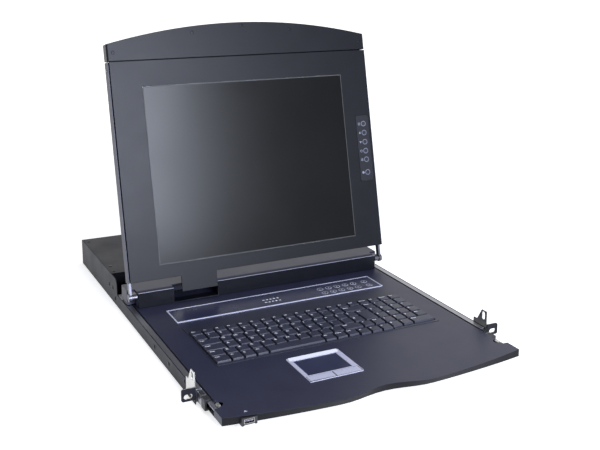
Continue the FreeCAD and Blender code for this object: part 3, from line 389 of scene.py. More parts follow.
@dataclass
class Studio:
    """Pale floor, soft lamps and the camera.

    Attributes:
        eye: Camera position in metres.
        yaw: Turn of the view from +Y towards +X, in degrees.
        pitch: Tilt below the horizon, in degrees.
        roll: Turn about the view axis, in degrees.
        lens: Focal length in millimetres on a 36 mm wide sensor.
        shift: Shift of the lens, as shares of the picture's width.
        floor_size: Side of the floor in metres.
        floor_gap: Gap between the part and the floor in metres, so that their faces don't meet.
        paper_glow: Glow that lifts the floor to white near the part, low enough to keep its shadow.
        paper_near: Distance in metres at which that glow starts to rise.
        paper_far: Distance at which the floor is white by itself.
        fill: Strength of the sky as a light.
        softboxes: The lamps.
    """

    eye: Vector = field(default_factory=lambda: Vector((-0.5711, -1.0246, 0.5377)))
    yaw: float = 27.13
    pitch: float = 12.08
    roll: float = -0.267
    lens: float = 55.9
    shift: tuple[float, float] = (-0.0373, -0.1209)
    floor_size: float = 60.0
    floor_gap: float = 0.0002
    paper_glow: float = 0.62
    paper_near: float = 0.7
    paper_far: float = 2.6
    fill: float = 0.3
    softboxes: tuple[Softbox, ...] = (
        Softbox("front_left_softbox", (0.3, -2.6, 1.02), (0.0, 0.3, 0.2), 1.15, 1.25, 125.0),
        Softbox("left_softbox", (-2.6, 0.6, 1.0), (0.0, 0.2, 0.0), 1.6, 1.6, 4.0),
        Softbox("overhead_softbox", (0.2, 0.5, 2.6), (0.0, 0.2, 0.0), 1.8, 1.8, 17.0))

    def build(self) -> None:
        """Set the whole studio up."""
        self.place_camera()
        self.lay_floor()
        self.light_world()
        self.hang_lamps()
        bpy.context.scene.view_settings.view_transform = "Standard"

    def place_camera(self) -> None:
        """Make the camera and point it at the part."""
        lens = bpy.data.cameras.new("view_lens")
        lens.sensor_width = 36.0
        lens.lens = self.lens
        lens.shift_x, lens.shift_y = self.shift
        lens.clip_start, lens.clip_end = 0.01, 60.0
        camera = linked("camera", lens)
        yaw, pitch = math.radians(self.yaw), math.radians(self.pitch)
        forward = Vector((math.sin(yaw) * math.cos(pitch), math.cos(yaw) * math.cos(pitch),
                          -math.sin(pitch)))
        right = Vector((math.cos(yaw), -math.sin(yaw), 0.0))
        turn = Matrix.Rotation(math.radians(self.roll), 3, forward)
        right = turn @ right
        up = right.cross(forward)
        pose = Matrix((right, up, -forward)).transposed().to_4x4()
        camera.matrix_world = Matrix.Translation(self.eye) @ pose
        bpy.context.scene.camera = camera

    def lay_floor(self) -> None:
        """Lay a pale floor under the lowest face; it shows as white but keeps the part's shadow."""
        work = bmesh.new()
        bmesh.ops.create_grid(work, x_segments=1, y_segments=1, size=self.floor_size / 2)
        floor = finished("floor", work, None)
        floor.data.transform(Matrix.Translation((0.0, 0.0, CAD_BOX[0].z - self.floor_gap)))
        material = bpy.data.materials.new("matt_white_paper")
        tree = bare_tree(material)
        where = add_node(tree, "ShaderNodeTexCoord").outputs["Object"]
        far = add_node(tree, "ShaderNodeVectorMath", {0: where}, operation="LENGTH").outputs["Value"]
        glow = add_node(tree, "ShaderNodeMapRange", {"Value": far, "From Min": self.paper_near,
                                                     "From Max": self.paper_far, "To Min": self.paper_glow,
                                                     "To Max": 1.0}).outputs["Result"]
        raised = add_node(tree, "ShaderNodeMath", {0: seen_directly(tree), 1: glow}, operation="MULTIPLY")
        paper = add_node(tree, "ShaderNodeBsdfDiffuse", {"Color": linear("F4F4F4")})
        shine = add_node(tree, "ShaderNodeEmission",
                         {"Color": linear("FFFFFF"), "Strength": raised.outputs[0]})
        both = add_node(tree, "ShaderNodeAddShader", {0: paper.outputs[0], 1: shine.outputs[0]})
        add_node(tree, "ShaderNodeOutputMaterial", {"Surface": both.outputs[0]})
        floor.data.materials.append(material)

    def light_world(self) -> None:
        """Even grey sky for the fill, white where it is seen past the part or mirrored in it."""
        world = bpy.data.worlds.new("studio_sky")
        bpy.context.scene.world = world
        tree = bare_tree(world)
        fill = add_node(tree, "ShaderNodeBackground", {"Color": linear("FFFFFF"), "Strength": self.fill})
        white = add_node(tree, "ShaderNodeBackground", {"Color": linear("FFFFFF"), "Strength": 1.0})
        mix = add_node(tree, "ShaderNodeMixShader", {0: seen_directly(tree), 1: fill.outputs[0],
                                                     2: white.outputs[0]})
        add_node(tree, "ShaderNodeOutputWorld", {"Surface": mix.outputs[0]})

    def hang_lamps(self) -> None:
        """Hang the soft lamps and turn each towards its aim."""
        for box in self.softboxes:
            lamp = bpy.data.lights.new(box.name, "AREA")
            lamp.shape = "RECTANGLE"
            lamp.size, lamp.size_y = box.width, box.height
            lamp.energy = box.power
            lamp.color = linear(box.colour)[:3]
            holder = linked(box.name, lamp)
            holder.location = box.place
            holder.rotation_mode = "QUATERNION"
            holder.rotation_quaternion = (Vector(box.aim) - Vector(box.place)).to_track_quat("-Z", "Y")


def finished(name: str, work: BMesh, finish: Finish | None) -> Object:
    """Turn a bmesh into a linked object at the origin.

    Args:
        name: Object name.
        work: The bmesh, which is freed.
        finish: Finish for its only material slot, or None.

    Returns:
        The new object.
    """
    mesh = bpy.data.meshes.new(name)
    work.to_mesh(mesh)
    work.free()
    piece = linked(name, mesh)
    if finish is not None:
        mesh.materials.append(finish.build())
    return piece


# How close two points of a mesh are to count as one, and how flat an edge is to be left out.
WELD = 0.004 * MM
INK_WELD = 0.001 * MM
FLAT = math.radians(0.4)


def cad_copy(node: str, leaning: bool = False) -> BMesh:
    """Copy a CAD node's mesh, joined up and without the lines inside its flat faces.

    Args:
        node: CAD node name.
        leaning: True brings a part of the leaning monitor upright about the hinge line.

    Returns:
        A new bmesh.
    """
    work = bmesh.new()
    work.from_mesh(frame["nodes"][node].data)
    bmesh.ops.remove_doubles(work, verts=work.verts, dist=WELD)
    bmesh.ops.dissolve_limit(work, angle_limit=FLAT, use_dissolve_boundaries=False,
                             verts=work.verts, edges=work.edges)
    return moved(work, MONITOR_PLACE.inverted()) if leaning else work


def roll(work: BMesh, edges: list, radius: float, segments: int, clamp: bool = False) -> None:
    """Round some edges of a mesh.

    Args:
        work: Mesh to change.
        edges: The edges.
        radius: Radius in metres.
        segments: Facets across each rounding.
        clamp: True keeps the roundings from running into each other.
    """
    bmesh.ops.bevel(work, geom=edges, offset=radius, offset_type="OFFSET", affect="EDGES",
                    segments=segments, profile=0.5, material=-1, clamp_overlap=clamp)


def round_edges(work: BMesh, radius: float, sharp: float = 30.0) -> None:
    """Roll every sharp outer edge over by a small radius so that it catches the light.

    Args:
        work: Mesh to change.
        radius: Radius in metres.
        sharp: Smallest angle between faces, in degrees, that counts as sharp.
    """
    limit = math.radians(sharp)
    edges = [e for e in work.edges
             if len(e.link_faces) == 2 and e.is_convex and e.calc_face_angle(0.0) > limit]
    roll(work, edges, radius, 2, clamp=True)


def shade(piece: Object, angle: float = 32.0) -> None:
    """Shade a piece smooth, keep its sharp edges and level the shading of its flat faces.

    Args:
        piece: The piece.
        angle: Angle between faces, in degrees, above which their edge stays sharp.
    """
    mesh = piece.data
    mesh.polygons.foreach_set("use_smooth", [True] * len(mesh.polygons))
    mesh.set_sharp_from_angle(angle=math.radians(angle))
    mesh.update()
    weighted = piece.modifiers.new("level_faces", "WEIGHTED_NORMAL")
    weighted.keep_sharp = True


def body_name(node: str) -> str:
    """Look up the body that a CAD node belongs to.

    Args:
        node: CAD node name.

    Returns:
        Name of the body.
    """
    return frame["nodes"][node]["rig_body"]


def round_corners(work: BMesh, radius: float) -> None:
    """Round the outer corners of a plate's outline.

    Args:
        work: Mesh of the plate, lying in the XY plane or leaning with the monitor.
        radius: Corner radius in metres.
    """
    low = [min(v.co[axis] for v in work.verts) for axis in range(3)]
    high = [max(v.co[axis] for v in work.verts) for axis in range(3)]
    thin = min(range(3), key=lambda axis: high[axis] - low[axis])
    across = [axis for axis in range(3) if axis != thin]
    edges = []
    for edge in work.edges:
        middle = (edge.verts[0].co + edge.verts[1].co) / 2
        along = (edge.verts[1].co - edge.verts[0].co).normalized()
        if abs(along[thin]) > 0.99 and all(
                min(middle[axis] - low[axis], high[axis] - middle[axis]) < 0.1 * MM for axis in across):
            edges.append(edge)
    roll(work, edges, radius, 6)


def edged(node: str, width_mm: float, corner_mm: float = 0.0) -> Object:
    """Stand in for a CAD node with the same shape and softly rounded edges.

    Args:
        node: CAD node name.
        width_mm: Edge radius in millimetres.
        corner_mm: Radius of the outline's corners in millimetres, or 0.

    Returns:
        The new piece, riding on the node's body.
    """
    leaning = body_name(node) == "monitor"
    work = cad_copy(node, leaning)
    if corner_mm > 0:
        round_corners(work, corner_mm * MM)
    round_edges(work, width_mm * MM)
    if leaning:
        moved(work, MONITOR_PLACE)
    piece = finished(node + "_edged", work, NODE_FINISHES[node])
    shade(piece)
    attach(piece, body_name(node))
    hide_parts(node)
    LOG.info("%s: %d faces", piece.name, len(piece.data.polygons))
    return piece


def islands(node: str, leaning: bool = False) -> list[tuple[Vector, Vector]]:
    """Boxes of the separate solids of a CAD node.

    Args:
        node: CAD node name.
        leaning: True gives the boxes in the monitor's upright frame.

    Returns:
        Lowest and highest corner of each solid.
    """
    work = cad_copy(node, leaning)
    seen: set[int] = set()
    boxes = []
    work.verts.index_update()
    for start in work.verts:
        if start.index in seen:
            continue
        seen.add(start.index)
        heap, group = [start], []
        while heap:
            vert = heap.pop()
            group.append(vert.co.copy())
            for edge in vert.link_edges:
                other = edge.other_vert(vert)
                if other.index not in seen:
                    seen.add(other.index)
                    heap.append(other)
        boxes.append((Vector([min(p[k] for p in group) for k in range(3)]),
                      Vector([max(p[k] for p in group) for k in range(3)])))
    work.free()
    return boxes


# ------------------------------------------------------------------ shape tools
class Facing(Enum):
    """Ways that a small part or a legend can face.

    Each value holds the turns about X and Z, in degrees, that bring +Z there.
    """

    UP = (0, 0)
    FRONT = (90, 0)
    REAR = (90, 180)
    LEFT = (90, -90)
    RIGHT = (90, 90)

    def place(self, spot: Vector) -> Matrix:
        """Turn and move what is made at the origin facing +Z.

        Args:
            spot: Point where it is set down.

        Returns:
            The matrix that does so.
        """
        about_x, about_z = (math.radians(angle) for angle in self.value)
        turn = Matrix.Rotation(about_z, 4, "Z") @ Matrix.Rotation(about_x, 4, "X")
        return Matrix.Translation(spot) @ turn


class Sign(Enum):
    """Plain signs that are printed beside a control."""

    UP = "triangle that points up"
    DOWN = "triangle that points down"
    BARS = "three short bars"
    RING = "open ring"
    DOT = "small dot"


def joined(parts: Iterable[BMesh]) -> BMesh:
    """Join several bmeshes into one.

    Args:
        parts: The bmeshes, which are freed.

    Returns:
        A new bmesh.
    """
    whole = bmesh.new()
    for part in parts:
        mesh = bpy.data.meshes.new("part")
        part.to_mesh(mesh)
        part.free()
        whole.from_mesh(mesh)
        bpy.data.meshes.remove(mesh)
    return whole


def moved(work: BMesh, place: Matrix | Sequence[float]) -> BMesh:
    """Move a bmesh.

    Args:
        work: Mesh to move.
        place: Matrix to move it by, or how far to move it along each axis.

    Returns:
        The same mesh.
    """
    matrix = place if isinstance(place, Matrix) else Matrix.Translation(place)
    bmesh.ops.transform(work, matrix=matrix, verts=work.verts)
    return work


def disc(radius: float, height: float, segments: int) -> BMesh:
    """Round plate that stands on the origin and faces +Z.

    Args:
        radius: Radius in metres.
        height: Thickness in metres.
        segments: Sides of the circle.

    Returns:
        A new bmesh.
    """
    work = bmesh.new()
    bmesh.ops.create_cone(work, cap_ends=True, segments=segments, radius1=radius, radius2=radius,
                          depth=height)
    bmesh.ops.translate(work, verts=work.verts, vec=(0, 0, height / 2))
    return work


def ring(outer: float, inner: float, height: float, segments: int = 28) -> BMesh:
    """Flat ring that stands on the origin and faces +Z.

    Args:
        outer: Outer radius in metres.
        inner: Inner radius in metres.
        height: Thickness in metres.
        segments: Sides of the circles.

    Returns:
        A new bmesh.
    """
    work = bmesh.new()
    for radius in (outer, inner):
        bmesh.ops.create_circle(work, segments=segments, radius=radius)
    bmesh.ops.bridge_loops(work, edges=work.edges[:])
    lift(work, work.faces[:], height)
    return work


def lift(work: BMesh, faces: list, height: float) -> None:
    """Extrude flat faces along Z.

    Args:
        work: Mesh to change.
        faces: The faces.
        height: Distance in metres, below 0 to sink them.
    """
    made = bmesh.ops.extrude_face_region(work, geom=faces)["geom"]
    ends = [v for v in made if isinstance(v, BMVert)]
    bmesh.ops.translate(work, verts=ends, vec=(0, 0, height))


def window(low: Vector, high: Vector, width: float, height: float) -> BMesh:
    """Rectangular ring between two corners in the XY plane, facing +Z.

    Args:
        low: Lower left corner; its Z is where the ring stands.
        high: Upper right corner.
        width: Width of its sides in metres.
        height: Thickness in metres.

    Returns:
        A new bmesh.
    """
    work = bmesh.new()
    bmesh.ops.create_grid(work, x_segments=1, y_segments=1, size=0.5)
    span = high - low
    bmesh.ops.scale(work, verts=work.verts, vec=(span.x, span.y, 1))
    middle = (low + high) / 2
    bmesh.ops.translate(work, verts=work.verts, vec=(middle.x, middle.y, low.z))
    core = work.faces[:]
    bmesh.ops.inset_region(work, faces=core, thickness=width, use_even_offset=True, use_boundary=True)
    bmesh.ops.delete(work, geom=core, context="FACES")
    lift(work, work.faces[:], height)
    return work


def block(size: Vector, edge: float = 0.0) -> BMesh:
    """Box centred on the origin with rounded edges.

    Args:
        size: Length along each axis in metres.
        edge: Edge radius in metres, or 0.

    Returns:
        A new bmesh.
    """
    work = bmesh.new()
    bmesh.ops.create_cube(work, size=1.0)
    bmesh.ops.scale(work, verts=work.verts, vec=size)
    if edge > 0:
        roll(work, work.edges[:], edge, 2)
    return work


# Shape of a pan head as shares of its radius or height: how far its cross reaches, half the width of
# the cross's arms, its depth, the flat top, and the rounded side as pairs of radius and level.
CROSS_REACH, CROSS_ARM, CROSS_DEPTH, HEAD_FLAT = 0.62, 0.13, 0.7, 0.8
HEAD_SIDE = ((0.93, 0.8), (1.0, 0.55), (1.0, 0.0))


def cross_screw(radius: float, height: float, segments: int = 24) -> BMesh:
    """Pan head with a cross recess; its seat is at the origin and it faces +Z.

    Args:
        radius: Radius of the head in metres.
        height: Height of the head in metres.
        segments: Sides of the head.

    Returns:
        A new bmesh.
    """
    reach, arm, depth = radius * CROSS_REACH, radius * CROSS_ARM, height * CROSS_DEPTH
    work = bmesh.new()
    bmesh.ops.create_grid(work, x_segments=3, y_segments=3, size=reach)
    corners = [v for v in work.verts if min(abs(v.co.x), abs(v.co.y)) > reach * 0.9]
    bmesh.ops.delete(work, geom=corners, context="VERTS")
    for vert in work.verts:
        for axis in (0, 1):
            if abs(vert.co[axis]) < reach * 0.5:
                vert.co[axis] = math.copysign(arm, vert.co[axis])
    bmesh.ops.translate(work, verts=work.verts, vec=(0, 0, height))
    cross = work.faces[:]
    rim = [e for e in work.edges if e.is_boundary]
    circle = bmesh.ops.create_circle(work, segments=segments, radius=radius * HEAD_FLAT)["verts"]
    bmesh.ops.translate(work, verts=circle, vec=(0, 0, height))
    loop = list({e for v in circle for e in v.link_edges})
    bmesh.ops.bridge_loops(work, edges=rim + loop)
    lift(work, cross, -depth)
    left = [f for f in cross if f.is_valid]
    bmesh.ops.delete(work, geom=left, context="FACES_ONLY")
    for share, level in HEAD_SIDE:
        ends = bmesh.ops.extrude_edge_only(work, edges=loop)["geom"]
        loop = [e for e in ends if isinstance(e, BMEdge)]
        for vert in {v for e in loop for v in e.verts}:
            flat = Vector((vert.co.x, vert.co.y)).normalized() * radius * share
            vert.co = (flat.x, flat.y, height * level)
    bmesh.ops.contextual_create(work, geom=loop)
    return work


def sign_shape(sign: Sign, size: float, height: float) -> BMesh:
    """Make a sign that faces +Z.

    Args:
        sign: Which one.
        size: Height of the sign in metres.
        height: Thickness in metres.

    Returns:
        A new bmesh.
    """
    if sign is Sign.BARS:
        bar, step = Vector((size, size * 0.16, height)), size * 0.36
        return joined(moved(block(bar), (0, row * step, height / 2)) for row in (-1, 0, 1))
    if sign is Sign.RING:
        return ring(size / 2, size * 0.34, height, segments=20)
    if sign is Sign.DOT:
        return disc(size / 2, height, segments=12)
    turn = 0 if sign is Sign.UP else 180
    return moved(disc(size * 0.56, height, segments=3), Matrix.Rotation(math.radians(turn), 4, "Z"))


@dataclass(frozen=True)
class Legend:
    """One printed word, letter or number.

    Attributes:
        text: What it says.
        height: Height of a capital in metres.
        spot: Where it is set down.
        facing: The way it faces.
        align: LEFT or CENTER, for the side of the text that stands at the spot.
    """

    text: str
    height: float
    spot: Vector
    facing: Facing = Facing.UP
    align: str = "CENTER"


# Height of a capital as a share of the font's size, and how much wider its strokes are printed.
CAP_SHARE = 0.69
STROKE_SHARE = 0.035
# Thickness of an ink layer, its depth in the face that it is printed on, and the height of its middle.
INK_HEIGHT = 0.04 * MM
INK_SINK = 0.01 * MM
INK_MIDDLE = INK_HEIGHT / 2 - INK_SINK
# Depth to which other small pieces are let into a face, so that no light shows under them.
SINK = 0.02 * MM


def print_legends(legends: Sequence[Legend]) -> BMesh:
    """Make a thin raised mesh of printed words.

    Args:
        legends: The words and their places.

    Returns:
        A new bmesh.
    """
    holders = []
    for legend in legends:
        curve = bpy.data.curves.new("legend", "FONT")
        curve.body = legend.text
        curve.size = legend.height / CAP_SHARE
        curve.resolution_u = 2
        curve.extrude = INK_HEIGHT / 2
        curve.offset = legend.height * STROKE_SHARE
        curve.align_x, curve.align_y = legend.align, "CENTER"
        holders.append(linked("legend", curve))
    bpy.context.view_layer.update()
    graph = bpy.context.evaluated_depsgraph_get()
    whole = bmesh.new()
    for legend, holder in zip(legends, holders):
        mesh = bpy.data.meshes.new_from_object(holder.evaluated_get(graph))
        mesh.transform(legend.facing.place(legend.spot))
        whole.from_mesh(mesh)
        curve = holder.data
        bpy.data.objects.remove(holder)
        bpy.data.curves.remove(curve)
        bpy.data.meshes.remove(mesh)
    bmesh.ops.remove_doubles(whole, verts=whole.verts, dist=INK_WELD)
    return whole


# ------------------------------------------------------------------ sub-assemblies
@dataclass
class SubAssembly:
    """Base of the dressed sub-assemblies: it turns meshes into pieces that move with the part."""

    def keep(self, name: str, work: BMesh, finish: Finish, carrier: str, leaning: bool = False,
             stands_for: tuple[str, ...] = ()) -> Object:
        """Finish a closed mesh and let it ride with a CAD node.

        Args:
            name: Name of the piece.
            work: Its mesh, which is freed.
            finish: Its finish.
            carrier: CAD node whose body it shares.
            leaning: True where it was made on the upright monitor.
            stands_for: CAD nodes that it is shown in place of.

        Returns:
            The piece.
        """
        if leaning:
            moved(work, MONITOR_PLACE)
        bmesh.ops.recalc_face_normals(work, faces=work.faces)
        piece = finished(name, work, finish)
        shade(piece)
        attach(piece, body_name(carrier))
        if stands_for:
            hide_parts(*stands_for)
        LOG.info("%s: %d faces", name, len(piece.data.polygons))
        return piece


@dataclass
class Housings(SubAssembly):
    """Sheet and moulded parts that keep their CAD shape and get softly rounded edges.

    Attributes:
        edges: Edge radius of each CAD node in millimetres.
        corners: Radius of the outline's corners of some of them in millimetres.
    """

    edges: dict[str, float] = field(default_factory=lambda: {
        "tray_shell": 0.5, "hinge_cover": 0.4, "hinge_base": 1.0, "monitor_shell": 0.5,
        "monitor_bezel": 0.4, "arch_cover": 0.5, "top_cover": 0.4, "chassis_pan": 0.35,
        "rear_panel": 0.3, "rack_ear_left": 0.35, "rack_ear_right": 0.35, "latch_bracket_left": 0.25,
        "latch_bracket_right": 0.25,
        "keyboard_frame": 0.35, "touchpad_frame": 0.4, "touchpad_button_left": 0.4,
        "touchpad_button_right": 0.4, "strip_frame": 0.3, "osd_panel": 0.3, "port_inserts": 0.25})
    corners: dict[str, float] = field(default_factory=lambda: {
        "keyboard_frame": 2.5, "touchpad_frame": 2.6, "osd_panel": 2.0, "strip_frame": 1.5})

    def build(self) -> None:
        """Make every piece."""
        for node, width in self.edges.items():
            edged(node, width, self.corners.get(node, 0.0))


@dataclass(frozen=True)
class EdgeBand:
    """Faces along the front of a piece that take a colour of painted light: painted shade or a painted
    highlight.

    Attributes:
        piece, finish: Name of the piece, and the finish of those faces.
        facing, share: The way they face, and the least share of their direction that points there.
        depth, drop: How far behind the foremost and below the highest point they lie, in metres.
    """

    piece: str
    finish: Finish
    facing: tuple[float, float, float]
    share: float
    depth: float
    drop: float = math.inf

    def build(self) -> None:
        """Give the faces their painted light."""
        mesh = bpy.data.objects[self.piece].data
        mesh.materials.append(self.finish.build())
        front = min(vert.co.y for vert in mesh.vertices)
        top = max(vert.co.z for vert in mesh.vertices)
        for face in mesh.polygons:
            inside = face.center.y < front + self.depth and face.center.z > top - self.drop
            if inside and face.normal.dot(Vector(self.facing)) > self.share:
                face.material_index = 1


# Painted shade: the nose's forward-facing faces take the near-black colour.
NOSE_PAINTED_SHADE = EdgeBand("tray_shell_edged", NOSE_SHADE_PAINT, (0, -1, 0), share=0.6, depth=0.036)
# Painted highlight: the hinge block's rounded top front edge takes the pale lip colour.
HINGE_LIP_HIGHLIGHT = EdgeBand("hinge_base_edged", LIP_HIGHLIGHT_PAINT, (0, 0, 1), share=0.2, depth=0.0011, drop=0.0011)


@dataclass
class Fasteners(SubAssembly):
    """Cross-recessed screws of the chassis and of the cover above the screen.

    Attributes:
        head_mm: Height of a screw's head in millimetres.
    """

    head_mm: float = 0.8

    def build(self) -> None:
        """Make the screws in place of their plain CAD solids."""
        self.keep("chassis_screw_heads", joined(self.chassis_heads()), BLACK_OXIDE, "chassis_screws",
                  stands_for=("chassis_screws",))
        self.keep("arch_screw_heads", joined(self.arch_heads()), BLACK_OXIDE, "arch_screws", leaning=True,
                  stands_for=("arch_screws",))

    def chassis_heads(self) -> list[BMesh]:
        """Make a head for each screw of the chassis, turned the way that screw points.

        Returns:
            One mesh per screw.
        """
        heads, height = [], self.head_mm * MM
        for low, high in islands("chassis_screws"):
            centre, size = (low + high) / 2, high - low
            if size.x < size.y:
                facing = Facing.RIGHT if centre.x > 0 else Facing.LEFT
                outer = high.x if centre.x > 0 else low.x
                seat = Vector((outer - math.copysign(height, centre.x), centre.y, centre.z))
            else:
                facing, seat = Facing.UP, Vector((centre.x, centre.y, high.z - height))
            heads.append(moved(cross_screw(size.y / 2, height), facing.place(seat)))
        return heads

    def arch_heads(self) -> list[BMesh]:
        """Make a head for each screw of the arched cover, on the upright monitor.

        Returns:
            One mesh per screw.
        """
        heads, height = [], self.head_mm * MM
        for low, high in islands("arch_screws", leaning=True):
            centre = (low + high) / 2
            seat = Vector((centre.x, low.y + height, centre.z))
            heads.append(moved(cross_screw((high.x - low.x) / 2, height), Facing.FRONT.place(seat)))
        return heads


@dataclass
class Keyboard(SubAssembly):
    """Keycaps with rolled edges and the white legends printed on them.

    Attributes:
        edge_mm: Edge radius of a cap in millimetres.
        letter_mm: Height of a single letter.
        word_mm: Height of a word.
        inset_mm: Distance of a legend from the cap's left and rear edges.
        row_mm: Step to which the middles of the caps are rounded to tell the rows apart.
        legends: Legends of each CAD node, row by row from the rear and from left to right.
    """

    edge_mm: float = 0.5
    letter_mm: float = 4.0
    word_mm: float = 2.8
    inset_mm: float = 2.4
    row_mm: float = 2.0
    legends: dict[str, tuple[str, ...]] = field(default_factory=lambda: {
        "keys_function": ("Esc", *(f"F{number}" for number in range(1, 13)), "Ins", "Del"),
        "keys_typing": ("`", *"1234567890-=", "Back", "Tab", *"QWERTYUIOP[]", "Ent",
                        "Caps", *"ASDFGHJKL;'#",
                        "Shift", *"ZXCVBNM,./", "Shift", "End", "Ctrl", "Fn", "[]", "Alt", "Alt", "Menu",
                        "Ctrl"),
        "keys_arrows": ("^", "<", "v", ">"),
        "keys_numpad": ("Home", "Up", "Down", "Prt", "Num", "/", "*", "-", *"789+456=123", "Ent", "0", ".",
                        "Enter")})

    def build(self) -> None:
        """Make the caps and their legends."""
        for node, words in self.legends.items():
            edged(node, self.edge_mm)
            self.keep(node + "_legends", print_legends(self.printed(node, words)), LEGEND_INK, node)
        edged("key_space", self.edge_mm)

    def printed(self, node: str, words: tuple[str, ...]) -> list[Legend]:
        """Set each legend on the rear left of its cap.

        Args:
            node: CAD node of the caps.
            words: Its legends in order.

        Returns:
            The legends with their places.
        """
        step = 2 * self.row_mm * MM
        caps = sorted(islands(node), key=lambda box: (-round((box[0].y + box[1].y) / step), box[0].x))
        if len(caps) != len(words):
            LOG.warning("%s: %d caps but %d legends", node, len(caps), len(words))
        legends = []
        for (low, high), word in zip(caps, words):
            height = (self.letter_mm if len(word) == 1 else self.word_mm) * MM
            inset = self.inset_mm * MM
            spot = Vector((low.x + inset, high.y - inset - height / 2, high.z + INK_MIDDLE))
            legends.append(Legend(word, height, spot, align="LEFT"))
        return legends


@dataclass
class Touchpad(SubAssembly):
    """Sloping bar behind the pad and the dark outlines of its two buttons, all sizes in millimetres.

    Attributes:
        bar_deep, bar_high, bar_edge: Depth, rear height and edge radius of the bar.
        bar_short: How much shorter the bar is than its frame.
        slope: Share of the height that the bar loses towards its front edge.
        rear_gap, bar_sink: Its distance from the frame's rear edge and its depth in the frame.
        line, line_high: Width and thickness of the buttons' outlines.
    """

    bar_deep: float = 7.6
    bar_high: float = 1.5
    bar_edge: float = 0.5
    bar_short: float = 5.0
    slope: float = 0.7
    rear_gap: float = 1.0
    bar_sink: float = 0.4
    line: float = 0.45
    line_high: float = 0.06

    def build(self) -> None:
        """Make the bar and the outlines."""
        low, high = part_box("touchpad_frame")
        size = Vector((high.x - low.x - self.bar_short * MM, self.bar_deep * MM, self.bar_high * MM))
        bar = block(size, self.bar_edge * MM)
        for vert in bar.verts:
            if vert.co.y < 0 and vert.co.z > 0:
                vert.co.z -= self.bar_high * self.slope * MM
        moved(bar, ((low.x + high.x) / 2, high.y - self.rear_gap * MM - size.y / 2,
                    high.z + size.z / 2 - self.bar_sink * MM))
        # The bar's whiter lacquer is a painted highlight.
        self.keep("touchpad_rear_bar", bar, PAD_BAR_HIGHLIGHT, "touchpad_frame")
        for node in ("touchpad_button_left", "touchpad_button_right"):
            low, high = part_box(node)
            low = Vector((low.x, low.y, high.z - SINK))
            outline = window(low, high, self.line * MM, self.line_high * MM)
            self.keep(node + "_outline", outline, NYLON, node)


@dataclass
class ControlStrip(SubAssembly):
    """Rings and numbers of the round buttons and the printed marks, all sizes in millimetres.

    Attributes:
        ring_wide, ring_high: Width and height of a ring.
        ring_gap: Gap between a ring and its button, and its depth in the overlay.
        number_mm: Height of a number.
        mark_mm, mark_high: Height and thickness of a mark.
        marks: Places of the marks from the strip's near left corner.
    """

    ring_wide: float = 0.75
    ring_high: float = 0.25
    ring_gap: float = 0.05
    number_mm: float = 3.0
    mark_mm: float = 3.4
    mark_high: float = 0.1
    marks: tuple[tuple[float, float], ...] = tuple(
        (column, row) for row in (17.0, 27.0) for column in (150.0, 156.0, 162.0, 168.0, 174.0))

    def build(self) -> None:
        """Make the rings, the numbers and the marks."""
        buttons = sorted(islands("strip_buttons"), key=lambda box: (-round(box[0].y / MM), box[0].x))
        top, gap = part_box("strip_overlay")[1].z, self.ring_gap * MM
        rings, numbers = [], []
        for index, (low, high) in enumerate(buttons, start=1):
            centre, radius = (low + high) / 2, (high.x - low.x) / 2
            rings.append(moved(ring(radius + self.ring_wide * MM, radius + gap, self.ring_high * MM),
                               (centre.x, centre.y, top - gap)))
            spot = Vector((centre.x, centre.y, high.z + INK_MIDDLE))
            numbers.append(Legend(str(index), self.number_mm * MM, spot))
        self.keep("strip_rings", joined(rings), STRIP_RING, "strip_overlay")
        self.keep("strip_numbers", print_legends(numbers), LEGEND_INK, "strip_buttons")
        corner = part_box("strip_frame")[0]
        marks = [moved(sign_shape(Sign.BARS, self.mark_mm * MM, self.mark_high * MM),
                       (corner.x + x * MM, corner.y + y * MM, top - SINK)) for x, y in self.marks]
        self.keep("strip_marks", joined(marks), LEGEND_INK, "strip_overlay")


@dataclass
class ScreenControls(SubAssembly):
    """Rims and signs of the buttons beside the screen, and its dark seal, all sizes in millimetres.

    Attributes:
        rim, rim_gap, rim_high: Width of a button's rim, its gap round the button and its height.
        sign_mm, sign_high: Height and thickness of a sign.
        sign_left: Distance of the signs from the buttons' centres.
        seal, seal_high: Width and thickness of the display's seal.
        sink: Depth to which the rims and the seal are let in.
        signs: Sign of each button from the top.
    """

    rim: float = 1.2
    rim_gap: float = 0.15
    rim_high: float = 0.4
    sign_mm: float = 4.4
    sign_high: float = 0.06
    sign_left: float = 8.2
    seal: float = 1.3
    seal_high: float = 0.35
    sink: float = 0.05
    signs: tuple[Sign, ...] = (Sign.BARS, Sign.UP, Sign.DOWN, Sign.RING, Sign.BARS, Sign.DOT)

    def build(self) -> None:
        """Make the rims, the signs and the seal."""
        face = islands("osd_panel", leaning=True)[0][0].y
        rims, signs = [], []
        for index, sign in enumerate(self.signs, start=1):
            low, high = islands(f"osd_button_{index}", leaning=True)[0]
            centre, radius = (low + high) / 2, (high.x - low.x) / 2
            seat = Vector((centre.x, face + self.sink * MM, centre.z))
            rim = ring(radius + self.rim * MM, radius + self.rim_gap * MM, self.rim_high * MM)
            rims.append(moved(rim, Facing.FRONT.place(seat)))
            spot = Vector((centre.x - self.sign_left * MM, face + SINK, centre.z))
            shape = sign_shape(sign, self.sign_mm * MM, self.sign_high * MM)
            signs.append(moved(shape, Facing.FRONT.place(spot)))
        self.keep("screen_button_rims", joined(rims), CONTROL_RIM, "osd_panel", leaning=True)
        self.keep("screen_button_signs", joined(signs), SIGN_INK, "osd_panel", leaning=True)
        low, high = islands("lcd_glass", leaning=True)[0]
        seal = window(Vector((low.x, low.z, 0)), Vector((high.x, high.z, 0)), self.seal * MM,
                      self.seal_high * MM)
        moved(seal, Facing.FRONT.place(Vector((0, low.y + self.sink * MM, 0))))
        self.keep("display_seal", seal, NYLON, "lcd_glass", leaning=True)


